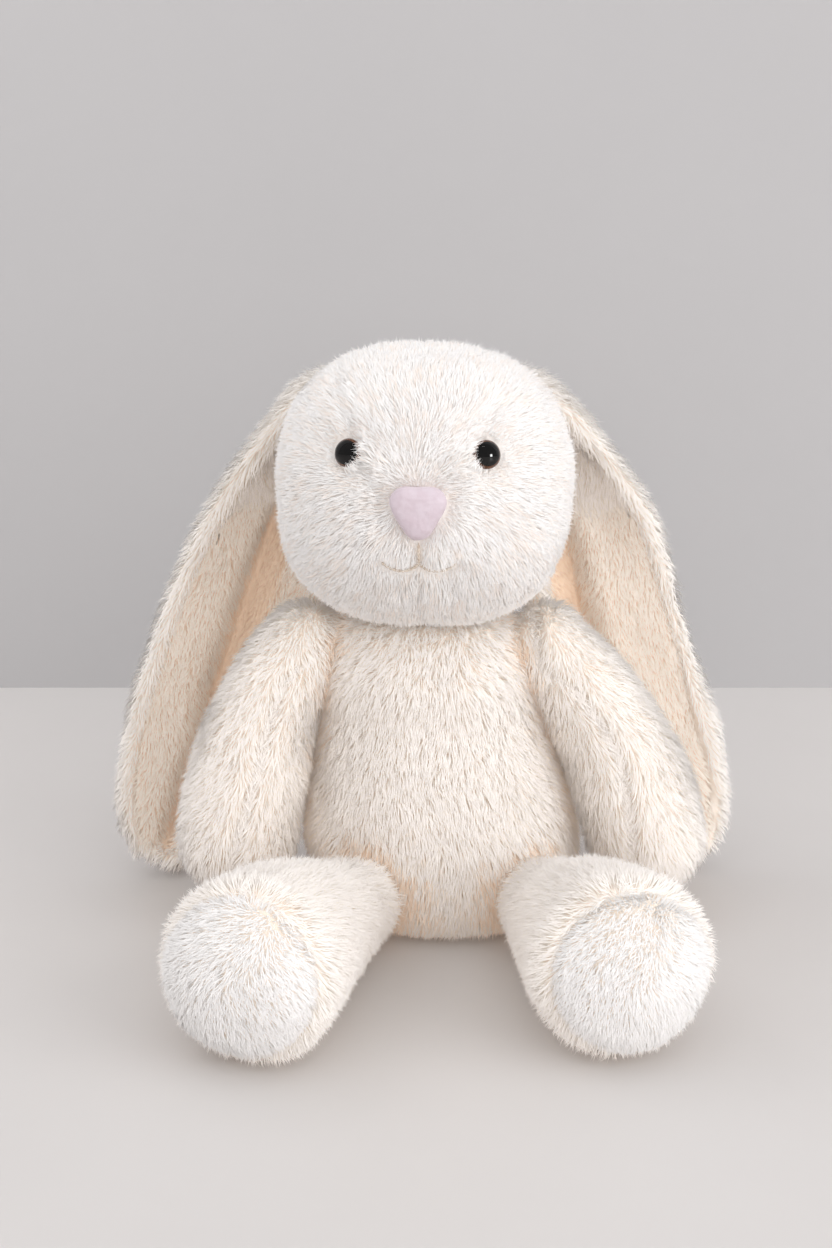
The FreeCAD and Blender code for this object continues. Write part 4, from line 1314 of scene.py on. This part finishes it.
def nose_outline(scale):
    """x, z: a small triangle with very round corners and a shallow dip in its top edge."""
    triangle = np.array([(-4.3, 3.7), (4.3, 3.7), (0.0, -3.9)])
    corner_radius, blend = 6.1, 1.1
    a = ring_angles(96)
    direction = np.stack([np.cos(a), np.sin(a)], 1)
    support = direction @ triangle.T
    w = np.exp((support - support.max(1, keepdims=True)) / blend)
    w /= w.sum(1, keepdims=True)
    p = w @ triangle + direction * corner_radius
    p[:, 1] -= 0.55 * bell(p[:, 0], 3.2) * (p[:, 1] > 0)
    return p * scale


def build_nose():
    rings = []
    for place, size in NOSE_SECTIONS:
        outline = nose_outline(size)
        y = np.full(len(outline), NOSE[1] - NOSE_DEPTH * place)
        rings.append(np.stack([NOSE[0] + outline[:, 0], y, NOSE[2] + outline[:, 1]], 1))
    points, faces = tube(rings)
    form = new_mesh("nose_tmp", from_head(points), faces)
    mesh = subdivide(new_object("nose_tmp", form), 1)
    points = places(mesh)
    uneven = 0.16 * value_noise(points, 3.4, 9) + 0.10 * value_noise(points, 1.3, 10)
    points = points + normals(mesh) * uneven[:, None]
    set_places(mesh, points)
    cylinder_uv(mesh, points, FACE_AXIS)
    mesh.name = "nose_pad"
    suede = mottled("nose_suede", (0.81, 0.745, 0.775), (0.84, 0.785, 0.815),
                    grain=(260.0, 4.0, 0.6),
                    bumps=[(2600.0, 2.0, 0.6, 0.25, 0.0003), (700.0, 4.0, 0.6, 0.18, 0.0006)],
                    Roughness=0.62, Sheen_Weight=0.25, Sheen_Roughness=0.35,
                    Specular_IOR_Level=0.3).material
    add_piece("nose_pad", mesh, "head", suede, ["nose_cover", "nose_padding"])


# ------------------------------------------------------------------ mouth
THREAD_RADIUS, THREAD_PITCH, THREAD_STEP = 0.52, 3.2, 0.25
THREAD_LIFT = 1.5                           # the thread lies this far in front of the skin


def twisted_thread(points):
    """Two plies twisted round the smoothed line of points."""
    lengths = np.linalg.norm(np.diff(points, axis=0), axis=1)
    run = np.concatenate([[0], np.cumsum(lengths)])
    n = max(8, int(run[-1] / THREAD_STEP))
    d = np.linspace(0, run[-1], n)
    line = np.stack([np.interp(d, run, points[:, k]) for k in range(3)], 1)
    for _ in range(6):
        line[1:-1] = (line[:-2] + line[1:-1] * 2 + line[2:]) / 4
    t = unit(np.gradient(line, axis=0))
    u = unit(np.cross(t, np.array([0.0, 1.0, 0.12])))
    w = np.cross(t, u)
    taper = np.clip(np.minimum(d, run[-1] - d) / 0.9, 0.25, 1)
    a = ring_angles(8)[:, None]
    plies = []
    for ply in range(2):
        twist = d / THREAD_PITCH * 2 * math.pi + ply * 2 * math.pi / 2
        away = tilted(u, w, twist)
        centre = line + away * (THREAD_RADIUS * 0.55 * taper)[:, None]
        plies.append(tube([
            centre[i] + (u[i] * np.cos(a) + w[i] * np.sin(a)) * (THREAD_RADIUS * 0.62 * taper[i])
            for i in range(n)]))
    return join(plies)


def build_mouth(head):
    local = into_head(places(head.data))

    def thread_y(x, z):
        """Just in front of the finished head skin at x, z, in the head's frame."""
        d = np.hypot(local[:, 0] - x, local[:, 2] - z) + (local[:, 1] > -20) * 50
        k = np.argsort(d)[:6]
        return float(np.average(local[k, 1], weights=1 / (d[k] + 0.1))) - THREAD_LIFT

    threads = []
    for line in MOUTH:
        stations = [np.array((x, thread_y(x, z), z)) for x, z in line]
        steps = np.linspace(0, len(line) - 1, 24)
        if len(line) > 2:
            table = list(enumerate(stations))
            points = np.array([spline(table, float(i)) for i in steps])
        else:
            start, end = stations
            points = np.array([start + (end - start) * i for i in steps])
            points[:, 1] = [thread_y(x, z) for x, _, z in points]
        threads.append(twisted_thread(points))
    points, faces = join(threads)
    mesh = new_mesh("mouth_thread", from_head(points), faces)
    cylinder_uv(mesh, places(mesh), FACE_AXIS)
    material = thread("mouth_thread", (0.80, 0.73, 0.66), (0.90, 0.85, 0.79))
    add_piece("mouth_thread", mesh, "head", material, ["mouth_embroidery"])


# ------------------------------------------------------------------ build
forms = {"torso": (torso_form(), 4.5, 2.6), "head": (head_form(), 4.5, 2.2)}
for side, _ in SIDES:
    shift_share, more_share = ARM_SHARE[side]
    fuller = ARMS[side].copy()
    fuller[:, 0] += shift_share * ARM_SHIFT
    fuller[:, 3] += more_share * ARM_MORE
    forms[side + "_arm"] = (limb_form(fuller), 4.0, 2.4)
for side, _ in SIDES:
    forms[side + "_leg"] = (limb_form(LEGS[side], FOOT_FLATNESS), 4.5, 2.4)
skins = puff(forms)

torso = build_torso(skins["torso"])
head = build_head(skins["head"])
for side, sign in SIDES:
    build_arm(side, sign, skins[side + "_arm"])
for side, sign in SIDES:
    build_leg(side, sign, skins[side + "_leg"])
for side, sign in SIDES:
    build_ear(side, sign)
build_tail()
build_nose()
build_mouth(head)

# ------------------------------------------------------------------ materials of the CAD nodes
EYE_BROWN = mottled("eye_brown_gloss", (0.30, 0.17, 0.10), (0.40, 0.24, 0.14),
                    grain=(900.0, 3.0, 0.6), bumps=[(250.0, 2.0, 0.55, 0.03, 0.0003)],
                    Roughness=0.10).material
EYE_BLACK = mottled("eye_black_gloss", (0.03, 0.025, 0.025), (0.05, 0.042, 0.04),
                    grain=(500.0, 2.0, 0.5), bumps=[(200.0, 2.0, 0.55, 0.02, 0.0002)],
                    Roughness=0.05, Specular_IOR_Level=0.4).material
WASHER = moulded("washer_plastic", (0.88, 0.88, 0.86), (0.93, 0.93, 0.91), roughness=0.45)
PELLET = moulded("pellet_plastic", (0.85, 0.85, 0.82), (0.95, 0.95, 0.93), roughness=0.4)
BAG = woven("pellet_bag_weave", (0.78, 0.76, 0.70), (0.90, 0.88, 0.83))
FILL = pile_base("fibre_fill_wadding", (0.90, 0.90, 0.89), (0.97, 0.97, 0.96))
THREAD = thread("sewing_thread", (0.88, 0.84, 0.78), (0.95, 0.92, 0.87))


def node_material(node):
    if node.endswith("eye_body"):
        return EYE_BROWN
    if node.endswith("eye_pupil"):
        return EYE_BLACK
    if node.endswith("washer"):
        return WASHER
    if node == "seat_pellets":
        return PELLET
    by_word = [(("pellet",), BAG), (("thread", "stitches"), THREAD),
               (("stuffing", "bundle", "padding"), FILL), (("lining",), LINING_BASE),
               (("face", "forehead"), WHITE_BASE)]
    for words, material in by_word:
        if any(word in node for word in words):
            return material
    return CREAM_BASE


for node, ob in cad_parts.items():
    ob.data.materials.clear()
    ob.data.materials.append(node_material(node))

# the neck's plug of filling is covered by the pile of head and body
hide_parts("neck_stuffing")


# ------------------------------------------------------------------ stage
def flat(name, y0, y1, shader):
    n = 24
    x, y = np.meshgrid(np.linspace(-6000, 6000, n), np.linspace(y0, y1, n))
    points = np.stack([x.ravel(), y.ravel(), np.zeros(n * n)], 1)
    ob = new_object(name, new_mesh(name, points, grid_quads(np.arange(n * n).reshape(n, n))))
    ob.data.materials.append(shader.material)
    return ob


def backdrop_shader():
    """Grey from the front, clear from behind."""
    shader = mottled("backdrop_grey", (0.72, 0.712, 0.714), (0.73, 0.722, 0.724),
                     grain=(2.0, 3.0, 0.55), Roughness=0.9)
    geometry = shader.add("ShaderNodeNewGeometry")
    clear = shader.add("ShaderNodeBsdfTransparent")
    mix = shader.add("ShaderNodeMixShader")
    shader.link(geometry.outputs["Backfacing"], mix.inputs["Fac"])
    shader.link(shader.principled.outputs["BSDF"], mix.inputs[1])
    shader.link(clear.outputs["BSDF"], mix.inputs[2])
    output = shader.tree.nodes["Material Output"]
    shader.link(mix.outputs["Shader"], output.inputs["Surface"])
    return shader


floor = flat("floor", -6000, 6000,
             mottled("floor_pale", (0.835, 0.82, 0.812), (0.85, 0.835, 0.827),
                     grain=(3.0, 4.0, 0.55), Roughness=0.42, Specular_IOR_Level=0.35))
wall = flat("backdrop", 0, 4000, backdrop_shader())
wall.rotation_euler = (math.radians(90), 0, 0)
wall.location = (0, 0.306, 0)


def build_world():
    """A pale room, of a different strength to the camera, to reflections and to the rest."""
    world = bpy.data.worlds.new("studio")
    scene.world = world
    world.use_nodes = True
    nodes, links = world.node_tree.nodes, world.node_tree.links
    background = nodes["Background"]
    path = nodes.new("ShaderNodeLightPath")
    glossy = nodes.new("ShaderNodeMapRange")
    glossy.inputs["To Min"].default_value = 1.10        # diffuse light
    glossy.inputs["To Max"].default_value = 0.35        # reflections
    links.new(path.outputs["Is Glossy Ray"], glossy.inputs["Value"])
    camera = nodes.new("ShaderNodeMapRange")
    camera.inputs["To Max"].default_value = 0.60        # seen directly
    links.new(path.outputs["Is Camera Ray"], camera.inputs["Value"])
    links.new(glossy.outputs["Result"], camera.inputs["To Min"])
    links.new(camera.outputs["Result"], background.inputs["Strength"])
    background.inputs["Color"].default_value = (0.985, 0.99, 1.0, 1)


def area_light(name, place, target, size, power, colour, glossy=False):
    """A glossy light shows only in reflections, the others only in diffuse light."""
    light = bpy.data.lights.new(name, "AREA")
    light.shape = "RECTANGLE"
    light.size, light.size_y = size
    light.energy = power
    light.color = colour
    ob = new_object(name, light)
    ob.location = place
    ob.rotation_mode = "QUATERNION"
    ob.rotation_quaternion = (Vector(target) - Vector(place)).to_track_quat("-Z", "Y")
    ob.visible_glossy = glossy
    ob.visible_diffuse = not glossy
    ob.visible_camera = False


build_world()
area_light("window", place=(1.45, -1.05, 0.80), target=(0, 0, 0.10), size=(1.4, 1.4),
           power=11.8, colour=(1.0, 0.998, 1.0))
area_light("catch", place=(0.98, -0.98, 0.34), target=(0, 0, 0.18), size=(0.36, 0.36),
           power=12.0, colour=(1.0, 1.0, 1.0), glossy=True)
area_light("back", place=(-0.25, 0.28, 0.60), target=(0, 0, 0.12), size=(0.9, 0.3),
           power=1.1, colour=(1.0, 0.99, 0.98))
area_light("fill", place=(0.2, -2.2, 0.72), target=(0, 0, 0.10), size=(1.6, 1.0),
           power=6.4, colour=(1.0, 0.985, 0.97))

camera = new_object("camera", bpy.data.cameras.new("camera"))
camera.data.lens = 50.0
camera.data.sensor_width = 36.0
camera.data.clip_start = 0.01
camera.location = (-0.008, -0.669, 0.300)
camera.rotation_euler = (math.radians(75), 0, 0)
scene.camera = camera
scene.view_settings.view_transform = "Standard"
scene.view_settings.exposure = 0.0
scene.cycles.use_denoising = True
scene.cycles.max_bounces = 16
scene.cycles.diffuse_bounces = 14
scene.cycles.glossy_bounces = 3
